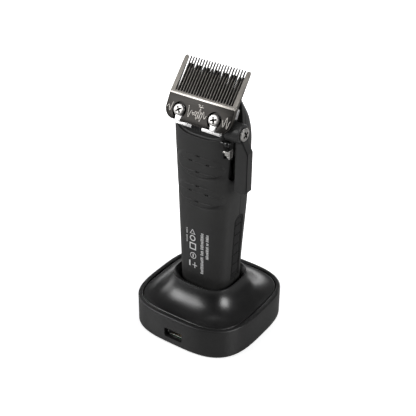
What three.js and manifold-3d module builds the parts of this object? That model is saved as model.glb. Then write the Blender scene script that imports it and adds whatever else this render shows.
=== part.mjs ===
// Cordless hair clipper standing in its charging dock.
// Millimetres, +Z up. Origin: centre of the dock's underside, at table height.
// -Y is the side with the charging socket and the blade screws, +X the taper lever side.
import * as THREE from 'three';
import { mergeVertices } from 'three/addons/utils/BufferGeometryUtils.js';
import Module from 'manifold-3d';

const wasm = await Module();
wasm.setup();

// ---- driving dimensions ---------------------------------------------------
const gap = 0.3;                    // air between two pieces that touch
const screwPlay = 0.3;              // radial play round a screw in its hole

// dock
const dockWidth = 83.5;             // plan size of the square-round dock, both ways
const dockSquareness = 3.3;         // exponent of the plan outline
const dockRim = 22;                 // height of the side wall
const dockWall = 3.2;
const dockFloorBottom = 0.8;
const dockFloor = 2.2;
const footHeight = 1.5;
const footRadius = 5;
const footEdge = 14.75;             // foot centre in from the dock's side, both ways
const screwEdge = 21.75;            // the same for the dock's screws
const lidGroove = 0.7;              // visible groove between wall and lid
const lidWall = 2.4;
const collarWidth = 44;
const collarDepth = 41.3;
const collarHeight = 36.5;
const funnelDrop = 4.5;             // height of the sloping funnel above the well
const wellPlay = 0.9;               // air between the handle and the well
const wellFloor = 1.5;              // thickness of the well's floor
const boardThickness = 1.6;
const usbWidth = 13.1;
const usbHeight = 5.8;
const usbDepth = 14;
const usbCentre = 9;
const usbHoleMargin = 0.35;
const pinSpacing = 12;
const pinRadius = 1.2;
const pinTravel = 1.2;

// handle: height, width, front, back of the outline at each station
const handleFoot = 8;               // height of the handle's lower end
const handle = [
  { z: handleFoot, width: 34.8, front: -13.0, back: 15.0 },
  { z: 50, width: 37.4, front: -13.8, back: 16.0 },
  { z: 95, width: 41.9, front: -14.0, back: 18.1 },
  { z: 135, width: 45.6, front: -14.4, back: 17.8 },
  { z: 150, width: 45.4, front: -14.4, back: 13.9 },
  { z: 162, width: 43.4, front: -14.0, back: 6.2 },
  { z: 173, width: 39.0, front: -12.0, back: -1.0 },
];
const handleSquareness = 3.2;
const handleSides = 32;             // facets round the handle
const handleWall = 2.6;
const endCapHeight = 3.2;
const endCapRim = 4;
const seamY = 1.5;                  // the two housings meet in this plane
const gripLow = 38;
const gripHigh = 86;
const gripWidth = 9.5;
const gripThickness = 1.0;
const gripSink = 0.3;               // grip's face below the handle's surface

// blade set, in the blade's own frame: x across, v up the plate, w out of it
const bladeLean = 29.1;             // degrees from upright
const bladeFootY = -18.2;           // the plate's lower front edge
const bladeFootZ = 149.8;
const bladeWidth = 46;
const bladeThickness = 2.6;
const bladeTip = 36.1;              // v of the tooth tips
const bladeTipThickness = 0.4;
const bladeRoot = 18.8;             // v of the tooth roots
const bladeCorner = 7;              // radius of the lower corners
const toothPitch = 1.9;
const toothWidth = 0.78;
const guardWidth = 2.5;
const bladeScrewSpacing = 24.8;
const bladeScrewV = 7.2;
const bladeScrewHead = 3.5;         // radius
const bladeScrewShank = 1.5;
const headRecess = 4.9;             // radius of the dark recess round a head
const headRecessDepth = 1.3;
const lugWidth = 6.2;
const lugSink = 0.9;                // lug's face below the plate's face

const bracketThickness = 2;
const bracketBelow = 3;             // bracket shows this far below the plate
const bracketNotch = 8;             // width of the notch between the two bars
const bracketBar = 18;              // half width of the bars
const bracketOverHub = 0.5;         // air between the lever's hub and the bracket's cross bar
const bracketRail = 1.3;            // height of that bar
const bracketArmWidth = 1.5;
const bracketArmTop = 16;
const bracketOverhang = 0.4;        // arm stands proud of the blade's side

const cutterSide = 3;               // the cutter is narrower than the blade by this on each side
const cutterAbove = 0.6;            // air between the bracket's bar and the cutter
const cutterRoot = 21;
const cutterTip = 32;
const cutterThickness = 1.6;
const cutterTeeth = 15;
const cutterToothWidth = 1.3;
const cutterStroke = 1.2;           // each way

// taper lever, turning about X
const hubZ = 148.4;
const hubRadius = 6;
const hubBehindBlade = 0.38;        // air between the hub and the blade's back
const hubInner = 17.8;
const hubOuter = 27.8;
const leverInner = 24.3;
const leverOuter = 31.5;
const leverAhead = 2.5;             // the arm's front face, ahead of the hub's axis
const leverBehind = 4.1;            // its back face, behind the axis
const leverSwing = 60;              // degrees
const leverFoot = 110.8;
const leverShoulder = 137;          // the arm reaches full width here
const leverScrewHead = 4.1;
const shaftRadius = 2;
const crankRadius = 3.5;
const crankAngle = 70;              // degrees, from v towards the handle
const crankPin = 0.8;
const notchWall = 17.4;             // x of the wall behind the lever's hub
const notchWallThickness = 1.4;
const notchLow = 130.5;
const notchPlay = 1.2;              // air behind the hub
const stopRadius = 2.1;
const stopGap = 0.2;
const stopAngle = -121.2;           // from the hub's axis, turned from +Y towards +Z
const clickHeight = 5.6;
const clickDrop = 1.6;              // air between the stop and the click spring
const clickAhead = 2.9;             // click spring's stem, ahead of the hub's axis

// drive
const cellRadius = 9.2;
const cellLength = 65;
const cellLow = 20;
const motorRadius = 10;
const motorLength = 34;
const motorLow = 93;
const motorY = 0.5;
const motorPlate = 1.8;
const crankThrow = cutterStroke;
const drivePin = 1.5;
const yokeWall = 2;
const boardY = 11.0;
const boardFace = 1.2;
const boardHalf = 11;
const boardLow = 64;
const boardHigh = 122;
const buttonZ = 104;
const buttonRadius = 7;
const buttonProud = 0.9;
const buttonTravel = 0.8;
const lensZ = 84;
const lensWidth = 9;
const lensHeight = 2.4;

// ---- colours and finishes -------------------------------------------------
const finish = {
  blackPlastic: [0x2c2c2c, 0.55, 0],
  dockPlastic: [0x262626, 0.35, 0],
  rubber: [0x151515, 0.9, 0],
  gunmetal: [0x45423e, 0.35, 0.9],
  blackSteel: [0x181818, 0.4, 0.7],
  chrome: [0xd8d6d2, 0.12, 1],
  steel: [0xa9a9a6, 0.3, 1],
  gold: [0xc9a45c, 0.3, 1],
  board: [0x1f4d33, 0.6, 0],
  cell: [0x2b5f8a, 0.5, 0],
  lens: [0x9fb6c8, 0.2, 0],
  nylon: [0xd9d6cc, 0.6, 0],
};

// ---- geometry helpers -----------------------------------------------------
const rad = THREE.MathUtils.degToRad;

function solid(geometry) {
  const bare = geometry.clone();
  bare.deleteAttribute('normal');
  bare.deleteAttribute('uv');
  const merged = mergeVertices(bare, 1e-4);
  const vertProperties = new Float32Array(merged.attributes.position.array);
  const triVerts = new Uint32Array(merged.index.array);
  return new wasm.Manifold(new wasm.Mesh({ numProp: 3, vertProperties, triVerts }));
}

function geometryOf(body) {
  const mesh = body.getMesh();
  const geometry = new THREE.BufferGeometry();
  const points = new Float32Array(mesh.vertProperties);
  geometry.setAttribute('position', new THREE.BufferAttribute(points, 3));
  geometry.setIndex(new THREE.BufferAttribute(new Uint32Array(mesh.triVerts), 1));
  return geometry;
}

function join(first, ...others) {
  return others.reduce((sum, other) => sum.add(other), first);
}

function cut(first, ...others) {
  return others.reduce((rest, other) => rest.subtract(other), first);
}

// a box given by its low and high corner
function block(low, high) {
  const size = high.map((value, axis) => value - low[axis]);
  const geometry = new THREE.BoxGeometry(...size);
  geometry.translate(...low.map((value, axis) => value + size[axis] / 2));
  return solid(geometry);
}

// a cylinder along an axis, from one end to the other
function rod(axis, radius, from, to, centre, sides = 20) {
  const geometry = new THREE.CylinderGeometry(radius, radius, to - from, sides);
  geometry.translate(0, (from + to) / 2, 0);
  if (axis === 'x') geometry.rotateZ(-Math.PI / 2);
  if (axis === 'z') geometry.rotateX(Math.PI / 2);
  const [a, b] = centre;
  if (axis === 'x') geometry.translate(0, a, b);
  if (axis === 'y') geometry.translate(a, 0, b);
  if (axis === 'z') geometry.translate(a, b, 0);
  return solid(geometry);
}

function ball(radius, x, y, z) {
  const geometry = new THREE.SphereGeometry(radius, 16, 10);
  geometry.translate(x, y, z);
  return solid(geometry);
}

// one ring of the outline |x/a|^n + |y/b|^n = 1 at height z
function ring({ width, front, back, z }, squareness, count) {
  const power = 2 / squareness;
  const middle = (front + back) / 2;
  const points = [];
  for (let i = 0; i < count; i += 1) {
    const angle = (i + 0.5) * 2 * Math.PI / count;
    const c = Math.cos(angle);
    const s = Math.sin(angle);
    const x = Math.sign(c) * Math.abs(c) ** power * width / 2;
    const y = middle + Math.sign(s) * Math.abs(s) ** power * (back - front) / 2;
    points.push([x, y, z]);
  }
  return points;
}

// a closed solid through a list of rings, low to high
function loft(rings) {
  const count = rings[0].length;
  const points = rings.flat();
  const middle = (r) => [0, 1, 2].map((k) => r.reduce((sum, p) => sum + p[k], 0) / count);
  const foot = points.push(middle(rings[0])) - 1;
  const head = points.push(middle(rings[rings.length - 1])) - 1;
  const last = (rings.length - 1) * count;
  const faces = [];
  for (let i = 0; i < count; i += 1) {
    const j = (i + 1) % count;
    faces.push(foot, j, i, head, last + i, last + j);
    for (let k = 0; k < last; k += count) {
      faces.push(k + i, k + j, k + count + j, k + i, k + count + j, k + count + i);
    }
  }
  const geometry = new THREE.BufferGeometry();
  geometry.setAttribute('position', new THREE.Float32BufferAttribute(points.flat(), 3));
  geometry.setIndex(faces);
  return solid(geometry);
}

// a polygon with optional holes, extruded from one height to another along Z
function slab(outline, low, high) {
  const shape = new THREE.Shape(outline.map(([x, y]) => new THREE.Vector2(x, y)));
  const geometry = new THREE.ExtrudeGeometry(shape, { depth: high - low, bevelEnabled: false });
  geometry.translate(0, 0, low);
  return solid(geometry);
}

// the same along X: the outline is drawn in y and z
function slabX(outline, low, high) {
  const side = outline.map(([y, z]) => [y, z]);
  return slab(side, low, high).transform(basis([0, 1, 0], [0, 0, 1], [1, 0, 0], [0, 0, 0]));
}

function basis(x, y, z, origin) {
  return [...x, 0, ...y, 0, ...z, 0, ...origin, 1];
}

// from the blade's frame to the clipper's
const lean = rad(bladeLean);
const bladeAxes = basis(
  [1, 0, 0],
  [0, Math.sin(lean), Math.cos(lean)],
  [0, -Math.cos(lean), Math.sin(lean)],
  [0, bladeFootY, bladeFootZ],
);
const onBlade = (body) => body.transform(bladeAxes);
const toothCount = Math.floor((bladeWidth - 2 * guardWidth) / toothPitch);
const cutterWidth = bladeWidth - 2 * cutterSide;

// the lever's hub sits close behind the blade
const hubW = -(bladeThickness + hubBehindBlade + hubRadius);
const hubY = bladeFootY + ((hubZ - bladeFootZ) * Math.sin(lean) - hubW) / Math.cos(lean);
const hubV = (hubY - bladeFootY) * Math.sin(lean) + (hubZ - bladeFootZ) * Math.cos(lean);
const hubClear = hubV + hubRadius + bracketOverHub;
const bracketTop = hubClear + bracketRail;
const cutterLow = bracketTop + cutterAbove;

function arc(x, y, radius, from, to, steps) {
  return Array.from({ length: steps + 1 }, (_, i) => {
    const angle = rad(from + (to - from) * i / steps);
    return [x + radius * Math.cos(angle), y + radius * Math.sin(angle)];
  });
}

const all = new THREE.Group();

function add(group, name, body, [color, roughness, metalness]) {
  const material = new THREE.MeshStandardMaterial({ color, roughness, metalness });
  const mesh = new THREE.Mesh(geometryOf(body), material);
  mesh.name = name;
  group.add(mesh);
}

const sides = [['left', -1], ['right', 1]];

// ---- dock -----------------------------------------------------------------
const dock = new THREE.Group();
all.add(dock);

const dockSides = 40;
const dockRing = (size, z, squareness = dockSquareness) => ring(
  { width: size, front: -size / 2, back: size / 2, z }, squareness, dockSides);

const floorTop = dockFloorBottom + dockFloor;
const wellTop = collarHeight - funnelDrop;
const wellBase = handleFoot - gap;
const boardTop = usbCentre - usbHeight / 2 - gap;
const usbFront = -dockWidth / 2 + dockWall + gap;
const usbHole = block(
  [-usbWidth / 2 - usbHoleMargin, -dockWidth / 2 - 1, usbCentre - usbHeight / 2 - usbHoleMargin],
  [usbWidth / 2 + usbHoleMargin, usbFront, usbCentre + usbHeight / 2 + usbHoleMargin],
);
const corners = [
  ['front_left', -1, -1],
  ['front_right', 1, -1],
  ['back_left', -1, 1],
  ['back_right', 1, 1],
];
const footInset = dockWidth / 2 - footEdge;
const footRecess = footHeight + gap;
const screwInset = dockWidth / 2 - screwEdge;
const dockScrewShank = 1.4;
const dockScrewHead = 2.8;
const dockHeadSink = 1;

const wallInsideSquareness = 3.6;
const tray = cut(
  loft([
    dockRing(dockWidth - 2, dockFloorBottom),
    dockRing(dockWidth, dockFloorBottom + 1),
    dockRing(dockWidth, dockRim - 1),
    dockRing(dockWidth - 1.6, dockRim),
  ]),
  loft([
    dockRing(dockWidth - 2 * dockWall, floorTop, wallInsideSquareness),
    dockRing(dockWidth - 2 * dockWall, dockRim + 1, wallInsideSquareness),
  ]),
  usbHole,
  ...corners.map(([, sx, sy]) => rod('z', footRadius + gap, 0, footRecess, [sx * footInset, sy * footInset])),
  ...corners.map(([, sx, sy]) => rod('z', dockScrewShank + screwPlay, 0, floorTop + 1,
    [sx * screwInset, sy * screwInset], 12)),
  ...corners.map(([, sx, sy]) => rod('z', dockScrewHead + gap, 0, dockFloorBottom + dockHeadSink,
    [sx * screwInset, sy * screwInset], 16)),
);
add(dock, 'dock_tray', tray, finish.dockPlastic);

// lid: flat at the rim, rising ever more steeply to the collar
const lidOuter = dockWidth - 2 * dockWall - 2 * lidGroove;
const lidRise = collarHeight - dockRim;
const lidDrop = 3;                  // skirt below the rim
const lidSink = 0.4;                // the lid starts this far below the rim
const lidSquareness = 3.7;
const collarSquareness = 3.1;
const flareEnd = 0.97;              // share of a quarter ellipse that the flare follows
const flareSteps = 7;
function flareRing(step, inset, sink) {
  const along = step / flareSteps;
  const rise = 1 - Math.sqrt(1 - (flareEnd * along) ** 2);
  const full = 1 - Math.sqrt(1 - flareEnd ** 2);
  const width = THREE.MathUtils.lerp(lidOuter, collarWidth, along) - 2 * inset;
  const depth = THREE.MathUtils.lerp(lidOuter, collarDepth, along) - 2 * inset;
  const z = dockRim - lidSink + (lidRise + lidSink) * rise / full - sink;
  const squareness = THREE.MathUtils.lerp(lidSquareness, collarSquareness, along);
  return ring({ width, front: -depth / 2, back: depth / 2, z }, squareness, dockSides);
}
const flare = Array.from({ length: flareSteps + 1 }, (_, step) => flareRing(step, 0, 0));
const flareDrop = lidWall * 0.8;
const flareInside = flare.map((_, step) => flareRing(step, lidWall, flareDrop));
const skirtLow = dockRim - lidDrop;
const lidBody = loft([dockRing(lidOuter, skirtLow, lidSquareness), ...flare]);
const lidHollow = loft([dockRing(lidOuter - 2 * lidWall, skirtLow - 1, lidSquareness), ...flareInside]);
const wellStation = (z, extra) => {
  const at = station(z);
  return { width: at.width + 2 * extra, front: at.front - extra, back: at.back + extra, z };
};
const wellRing = (z, at, extra) => ring({ ...wellStation(at, extra), z }, handleSquareness, handleSides);
const wellOutside = loft([
  wellRing(wellBase - wellFloor, wellTop, wellPlay + lidWall),
  wellRing(wellTop, wellTop, wellPlay + lidWall),
  wellRing(collarHeight - 2, wellTop, wellPlay + lidWall),
]);
const collarInset = 1.4;
const mouthRing = (z) => ring({
  width: collarWidth - collarInset,
  front: -(collarDepth - collarInset) / 2,
  back: (collarDepth - collarInset) / 2,
  z,
}, collarSquareness, handleSides);
const wellInside = join(
  loft([wellRing(wellBase, wellTop, wellPlay), wellRing(wellTop + 0.01, wellTop, wellPlay)]),
  loft([
    wellRing(wellTop, wellTop, wellPlay),
    mouthRing(collarHeight + 0.01),
    mouthRing(collarHeight + 1),
  ]),
);
const pinX = pinSpacing / 2;
const pinY = 1;
const bossLow = floorTop + gap;
const bossWall = 1.8;
const screwHoleTop = 13;
const collarBlock = block(
  [-collarWidth, -collarWidth, wellTop - 1],
  [collarWidth, collarWidth, collarHeight],
);
const boss = (sx, sy, top) => rod('z', dockScrewShank + bossWall, bossLow, top,
  [sx * screwInset, sy * screwInset], 12);
const lid = cut(
  join(
    lidBody.subtract(lidHollow),
    lidBody.intersect(collarBlock),
    wellOutside,
    ...corners.map(([, sx, sy]) => boss(sx, sy, skirtLow + 1)),
    ...corners.map(([, sx, sy]) => boss(sx, sy, collarHeight).intersect(lidBody)),
  ),
  wellInside,
  ...sides.map(([, s]) => rod('z', pinRadius + gap, 0, wellBase + 1, [s * pinX, pinY], 12)),
  ...corners.map(([, sx, sy]) => rod('z', dockScrewShank + screwPlay, 0, screwHoleTop,
    [sx * screwInset, sy * screwInset], 12)),
);
add(dock, 'dock_lid', lid, finish.dockPlastic);

corners.forEach(([name, sx, sy]) => {
  const foot = rod('z', footRadius, 0, footHeight, [sx * footInset, sy * footInset]);
  add(dock, `dock_foot_${name}`, foot, finish.rubber);
  const head = rod('z', dockScrewHead, dockFloorBottom - gap, dockFloorBottom + dockHeadSink - gap,
    [sx * screwInset, sy * screwInset], 16);
  const shank = rod('z', dockScrewShank, dockFloorBottom, 11, [sx * screwInset, sy * screwInset], 12);
  add(dock, `dock_screw_${name}`, head.add(shank), finish.steel);
});

// circuit board with the charging socket and the two sprung contacts
const boardHalfWidth = 14;
const board = cut(
  block([-boardHalfWidth, usbFront + gap, boardTop - boardThickness], [boardHalfWidth, 8, boardTop]),
  ...sides.map(([, s]) => rod('z', pinRadius + gap, 0, boardTop + 1, [s * pinX, pinY], 12)),
);
add(dock, 'dock_circuit_board', board, finish.board);
const usbShellWall = 0.4;
const usbBack = usbFront + usbDepth;
const usbShell = cut(
  block(
    [-usbWidth / 2, usbFront, usbCentre - usbHeight / 2],
    [usbWidth / 2, usbBack, usbCentre + usbHeight / 2],
  ),
  block(
    [-usbWidth / 2 + usbShellWall, usbFront - 1, usbCentre - usbHeight / 2 + usbShellWall],
    [usbWidth / 2 - usbShellWall, usbBack - usbShellWall, usbCentre + usbHeight / 2 - usbShellWall],
  ),
);
add(dock, 'usb_socket_shell', usbShell, finish.steel);
const tongueHalf = 5.2;
const tongueBaseX = usbWidth / 2 - usbShellWall - gap;
const tongueBaseZ = usbHeight / 2 - usbShellWall - gap;
const tongue = join(
  block(
    [-tongueBaseX, usbBack - 4, usbCentre - tongueBaseZ],
    [tongueBaseX, usbBack - usbShellWall - gap, usbCentre + tongueBaseZ],
  ),
  block([-tongueHalf, usbFront + 1.2, usbCentre], [tongueHalf, usbBack - 3, usbCentre + 1.8]),
);
add(dock, 'usb_socket_tongue', tongue, finish.blackPlastic);

const barrelLow = floorTop + gap;
const barrelTop = wellBase - gap;
const barrelBore = 0.85;
const plungerRadius = 0.6;
const plungerLow = barrelLow + 0.5 + gap + pinTravel;
sides.forEach(([name, s]) => {
  const centre = [s * pinX, pinY];
  const barrel = cut(
    rod('z', pinRadius, barrelLow, barrelTop, centre, 14),
    rod('z', barrelBore, barrelLow + 0.5, barrelTop + 1, centre, 14),
  );
  add(dock, `contact_barrel_${name}`, barrel, finish.steel);
  add(dock, `contact_pin_${name}`, rod('z', plungerRadius, plungerLow, wellBase, centre, 12), finish.gold);
});

// ---- handle ---------------------------------------------------------------
const clipper = new THREE.Group();
all.add(clipper);

// smooth curve through the stations
function station(z) {
  const last = handle.length - 2;
  const found = handle.findIndex((entry, i) => i <= last && z <= handle[i + 1].z);
  const k = found < 0 ? last : found;
  const [a, b] = [handle[k], handle[k + 1]];
  const before = handle[Math.max(k - 1, 0)];
  const after = handle[Math.min(k + 2, handle.length - 1)];
  const span = b.z - a.z;
  const t = (z - a.z) / span;
  const blend = (key) => {
    const slopeA = (b[key] - before[key]) / (b.z - before.z) * span;
    const slopeB = (after[key] - a[key]) / (after.z - a.z) * span;
    return (2 * t ** 3 - 3 * t ** 2 + 1) * a[key] + (t ** 3 - 2 * t ** 2 + t) * slopeA
      + (3 * t ** 2 - 2 * t ** 3) * b[key] + (t ** 3 - t ** 2) * slopeB;
  };
  return { width: blend('width'), front: blend('front'), back: blend('back'), z };
}

function shape(low, high, steps, inset, count = handleSides) {
  const rings = Array.from({ length: steps + 1 }, (_, i) => {
    const at = station(low + (high - low) * i / steps);
    return ring({ width: at.width - 2 * inset, front: at.front + inset, back: at.back - inset, z: at.z },
      handleSquareness, count);
  });
  return loft(rings);
}

const handleTop = handle[handle.length - 1].z;
const housingLow = handleFoot + endCapHeight + gap;
const handleSteps = 12;
const outer = shape(housingLow, handleTop, handleSteps, 0);
const hollow = shape(housingLow - 1, handleTop + 1, handleSteps, handleWall);

// everything in front of the plane behind the bracket is open for the blade set
const bracketBack = -bladeThickness - gap - bracketThickness;
const seatFace = bracketBack - gap;
const reach = 80;
const headOpening = onBlade(block([-reach, -30, seatFace], [reach, reach, reach]));
const frontHalf = block([-reach, -reach, 0], [reach, seamY - gap / 2, handleTop + 20]);
const rearHalf = block([-reach, seamY + gap / 2, 0], [reach, reach, handleTop + 20]);

// notch in the corner of the housing that the lever's hub turns in
const notchBack = hubY + hubRadius + notchPlay;
const notch = block([notchWall, -reach, notchLow], [reach, notchBack, handleTop]);
const notchLining = block(
  [notchWall - notchWallThickness, -reach, notchLow - notchWallThickness],
  [reach, notchBack + notchWallThickness, handleTop],
).subtract(notch).intersect(outer);

const shaftHole = rod('x', shaftRadius + 0.4, 10, 24, [hubY, hubZ], 20);
const seatHalf = 12.5;
const seatThickness = 1.2;
const seatHigh = 7.2;
const bracketScrewX = 9;
const bracketScrewV = 4.4;
const bracketScrewShank = 1.3;
const bracketScrewHead = 2.4;
const screwReach = 3;               // clear space behind the seat for a bracket screw's head
const seat = onBlade(block([-seatHalf, -2.4, seatFace - seatThickness], [seatHalf, seatHigh, seatFace]));
const stopReach = hubRadius + stopRadius + stopGap;
const stopY = hubY + stopReach * Math.cos(rad(stopAngle));
const stopZ = hubZ + stopReach * Math.sin(rad(stopAngle));
const stopStem = 1;
const clickY = hubY - clickAhead;
const clickZ = stopZ - stopRadius - clickDrop - clickHeight / 2;
const clickStem = 0.9;
const smallHoles = join(
  rod('x', stopStem + gap, 10, 24, [stopY, stopZ], 12),
  rod('x', clickStem + gap, 10, 24, [clickY, clickZ], 12),
);

// long pockets in both flanks for the ladder grips
function gripOutline(margin) {
  const half = gripWidth / 2 + margin;
  const round = arc(seamY, gripHigh - gripWidth / 2, half, 0, 180, 8);
  return [[seamY - half, gripLow - margin], [seamY + half, gripLow - margin], ...round];
}
const gripBelt = (margin, sink, depth) => shape(gripLow - 3, gripHigh + 3, 6, sink)
  .subtract(shape(gripLow - 4, gripHigh + 4, 6, sink + depth))
  .intersect(slabX(gripOutline(margin), -reach, reach));
const gripPocket = shape(gripLow - 3, gripHigh + 3, 6, -1)
  .subtract(shape(gripLow - 4, gripHigh + 4, 6, gripSink + gripThickness + gap))
  .intersect(slabX(gripOutline(gap), -reach, reach));

const shell = outer.subtract(hollow).add(notchLining);
const bracketScrewTip = seatFace - seatThickness - gap;
const frontHousing = cut(
  join(shell.subtract(notch).intersect(frontHalf), seat.intersect(outer)),
  headOpening,
  gripPocket,
  shaftHole,
  smallHoles,
  ...sides.map(([, s]) => onBlade(join(
    rod('z', bracketScrewShank + screwPlay, -20, 0, [s * bracketScrewX, bracketScrewV], 12),
    rod('z', bracketScrewHead + gap, bracketScrewTip - screwReach, seatFace - seatThickness,
      [s * bracketScrewX, bracketScrewV], 14),
  ))),
);
const buttonHole = rod('y', buttonRadius + gap, seamY + 2, 40, [0, buttonZ], 24);
const lensHole = block([-lensWidth / 2 - gap, seamY + 2, lensZ - lensHeight / 2 - gap],
  [lensWidth / 2 + gap, 40, lensZ + lensHeight / 2 + gap]);
const rearHousing = cut(
  shell.subtract(notch).intersect(rearHalf),
  headOpening,
  gripPocket,
  buttonHole,
  lensHole,
);
add(clipper, 'front_housing', frontHousing, finish.blackPlastic);
add(clipper, 'rear_housing', rearHousing, finish.blackPlastic);

sides.forEach(([name, s]) => {
  const half = block([Math.min(0, s * reach), -reach, 0], [Math.max(0, s * reach), reach, reach * 2]);
  add(clipper, `side_grip_${name}`, gripBelt(0, gripSink, gripThickness).intersect(half), finish.rubber);
});

// end cap with the two charging pads
const padRadius = 3;
const padThickness = 1.4;
const capTop = handleFoot + endCapHeight;
const endCap = cut(
  join(
    loft([
      ring({
        z: handleFoot,
        width: handle[0].width - 2,
        front: handle[0].front + 1,
        back: handle[0].back - 1,
      }, handleSquareness, handleSides),
      ring(station(handleFoot + 1), handleSquareness, handleSides),
      ring(station(capTop), handleSquareness, handleSides),
    ]),
    shape(capTop - 0.5, capTop + endCapRim, 2, handleWall + gap),
  ),
  shape(capTop - 0.6, capTop + endCapRim + 1, 2, handleWall + gap + 1.6),
  ...sides.map(([, s]) => rod('z', padRadius + gap, 0, handleFoot + padThickness + gap,
    [s * pinX, pinY], 16)),
);
add(clipper, 'end_cap', endCap, finish.blackPlastic);
sides.forEach(([name, s]) => {
  const pad = rod('z', padRadius, handleFoot, handleFoot + padThickness, [s * pinX, pinY], 16);
  add(clipper, `charge_pad_${name}`, pad, finish.gold);
});

// ---- power: cell, board, switch, button, lens -----------------------------
const cell = rod('z', cellRadius, cellLow, cellLow + cellLength, [0, motorY], 24);
add(clipper, 'battery_cell', cell, finish.cell);
const controlBoard = block([-boardHalf, boardY, boardLow], [boardHalf, boardY + boardFace, boardHigh]);
add(clipper, 'control_board', controlBoard, finish.board);
const buttonFace = station(buttonZ).back + buttonProud;
const switchFace = boardY + boardFace + gap;
const switchDepth = 1.4;
const switchHalf = 3;
const buttonSwitch = block(
  [-switchHalf, switchFace, buttonZ - switchHalf],
  [switchHalf, switchFace + switchDepth, buttonZ + switchHalf],
);
add(clipper, 'button_switch', buttonSwitch, finish.blackSteel);
const buttonLow = switchFace + switchDepth + buttonTravel + gap;
const powerButton = rod('y', buttonRadius, buttonLow, buttonFace, [0, buttonZ], 24);
add(clipper, 'power_button', powerButton, finish.blackPlastic);
const lensSink = 0.1;
const lensFace = station(lensZ).back - lensSink;
const lens = block(
  [-lensWidth / 2, lensFace - handleWall + 2 * lensSink, lensZ - lensHeight / 2],
  [lensWidth / 2, lensFace, lensZ + lensHeight / 2],
);
add(clipper, 'status_lens', lens, finish.lens);

// ---- motor ----------------------------------------------------------------
const motorTop = motorLow + motorLength;
const rotorRadius = 1.5;
const shaftClear = 0.4;
const motorScrewX = 6;
const motorCan = cut(
  rod('z', motorRadius, motorLow, motorTop, [0, motorY], 24),
  rod('z', rotorRadius + shaftClear, motorTop - 12, motorTop + 1, [0, motorY], 16),
  ...sides.map(([, s]) => rod('z', 1 + gap, motorTop - 3, motorTop + 1, [s * motorScrewX, motorY], 12)),
);
add(clipper, 'motor_can', motorCan, finish.steel);
const mountHigh = motorTop + gap + motorPlate;
const mountAt = station(motorTop);
const mount = cut(
  shape(motorTop + gap, mountHigh, 1, handleWall + gap),
  rod('z', 5, motorTop - 1, mountHigh + 1, [0, motorY], 20),
  ...sides.map(([, s]) => rod('z', 1 + screwPlay, motorTop - 1, mountHigh + 1,
    [s * motorScrewX, motorY], 12)),
  block([-boardHalf - 1, boardY - 1, motorTop], [boardHalf + 1, mountAt.back, mountHigh + 1]),
);
add(clipper, 'motor_mount', mount, finish.blackPlastic);
sides.forEach(([name, s]) => {
  const centre = [s * motorScrewX, motorY];
  const screw = join(
    rod('z', 1, motorTop - 2.5, mountHigh + gap + 0.1, centre, 12),
    rod('z', 1.9, mountHigh + gap, mountHigh + gap + 1.2, centre, 12),
  );
  add(clipper, `motor_screw_${name}`, screw, finish.steel);
});
const drumLow = mountHigh + 2.2;
const drum = 3;
const pinHigh = 148;
const rotor = join(
  rod('z', rotorRadius, motorTop - 11, drumLow + 0.5, [0, motorY], 16),
  rod('z', 4.2, drumLow, drumLow + drum, [0, motorY], 20),
  rod('z', drivePin, drumLow + drum - 0.5, pinHigh, [crankThrow, motorY], 16),
);
add(clipper, 'motor_shaft', rotor, finish.steel);

// ---- blade set ------------------------------------------------------------
const half = bladeWidth / 2;
const toothTaper = 0.2;             // each side narrows by this share of the tooth
const outside = 0.05;               // the outer guards narrow by this instead
function comb(count, pitch, width, guard, rootV, tipV, halfWidth, lowCorners) {
  const thin = Array.from({ length: count }, (_, i) => (i - (count - 1) / 2) * pitch);
  const teeth = [
    ...(guard ? [[-halfWidth, -halfWidth + guard]] : []),
    ...thin.map((x) => [x - width / 2, x + width / 2]),
    ...(guard ? [[halfWidth - guard, halfWidth]] : []),
  ];
  const edge = [];
  teeth.forEach(([from, to], i) => {
    const taper = (to - from) * toothTaper;
    edge.push([from, rootV]);
    edge.push([from + (i === 0 && guard ? outside : taper), tipV]);
    edge.push([to - (i === teeth.length - 1 && guard ? outside : taper), tipV]);
    edge.push([to, rootV]);
  });
  return [...lowCorners, ...edge.reverse()];
}
const lowerEdge = [
  ...arc(-half + bladeCorner, bladeCorner, bladeCorner, 180, 270, 5),
  ...arc(half - bladeCorner, bladeCorner, bladeCorner, 270, 360, 5),
];
const plateOutline = comb(toothCount, toothPitch, toothWidth, guardWidth, bladeRoot, bladeTip,
  half, lowerEdge);
const plate = slab(plateOutline, -bladeThickness, 1);
const bladeProfile = slabX([
  [0, -bladeThickness],
  [bladeTip + 1, -bladeThickness],
  [bladeTip, -bladeThickness + bladeTipThickness],
  [bladeRoot, 0],
  [0, 0],
], -half - 1, half + 1);
const lugHalf = lugWidth / 2;
const fixedBlade = cut(
  plate.intersect(bladeProfile),
  ...sides.map(([, s]) => {
    const x = s * bladeScrewSpacing / 2;
    return join(
      block([x - lugHalf - gap, -1, -bladeThickness - 1], [x + lugHalf + gap, bladeScrewV, 1]),
      rod('z', lugHalf + gap, -bladeThickness - 1, 1, [x, bladeScrewV], 20),
      rod('z', headRecess, -headRecessDepth, 1, [x, bladeScrewV], 24),
    );
  }),
);
add(clipper, 'fixed_blade', onBlade(fixedBlade), finish.gunmetal);

const cutterFace = -bladeThickness - gap;
const cutterPitch = (cutterWidth - cutterToothWidth) / (cutterTeeth - 1);
const cutterHalf = cutterWidth / 2;
const cutterEdge = [[-cutterHalf, cutterLow], [cutterHalf, cutterLow]];
const cutterOutline = comb(cutterTeeth, cutterPitch, cutterToothWidth, 0, cutterRoot, cutterTip,
  cutterHalf, cutterEdge);
const cutter = slab(cutterOutline, cutterFace - cutterThickness, cutterFace);
add(clipper, 'moving_blade', onBlade(cutter), finish.blackSteel);

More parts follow.
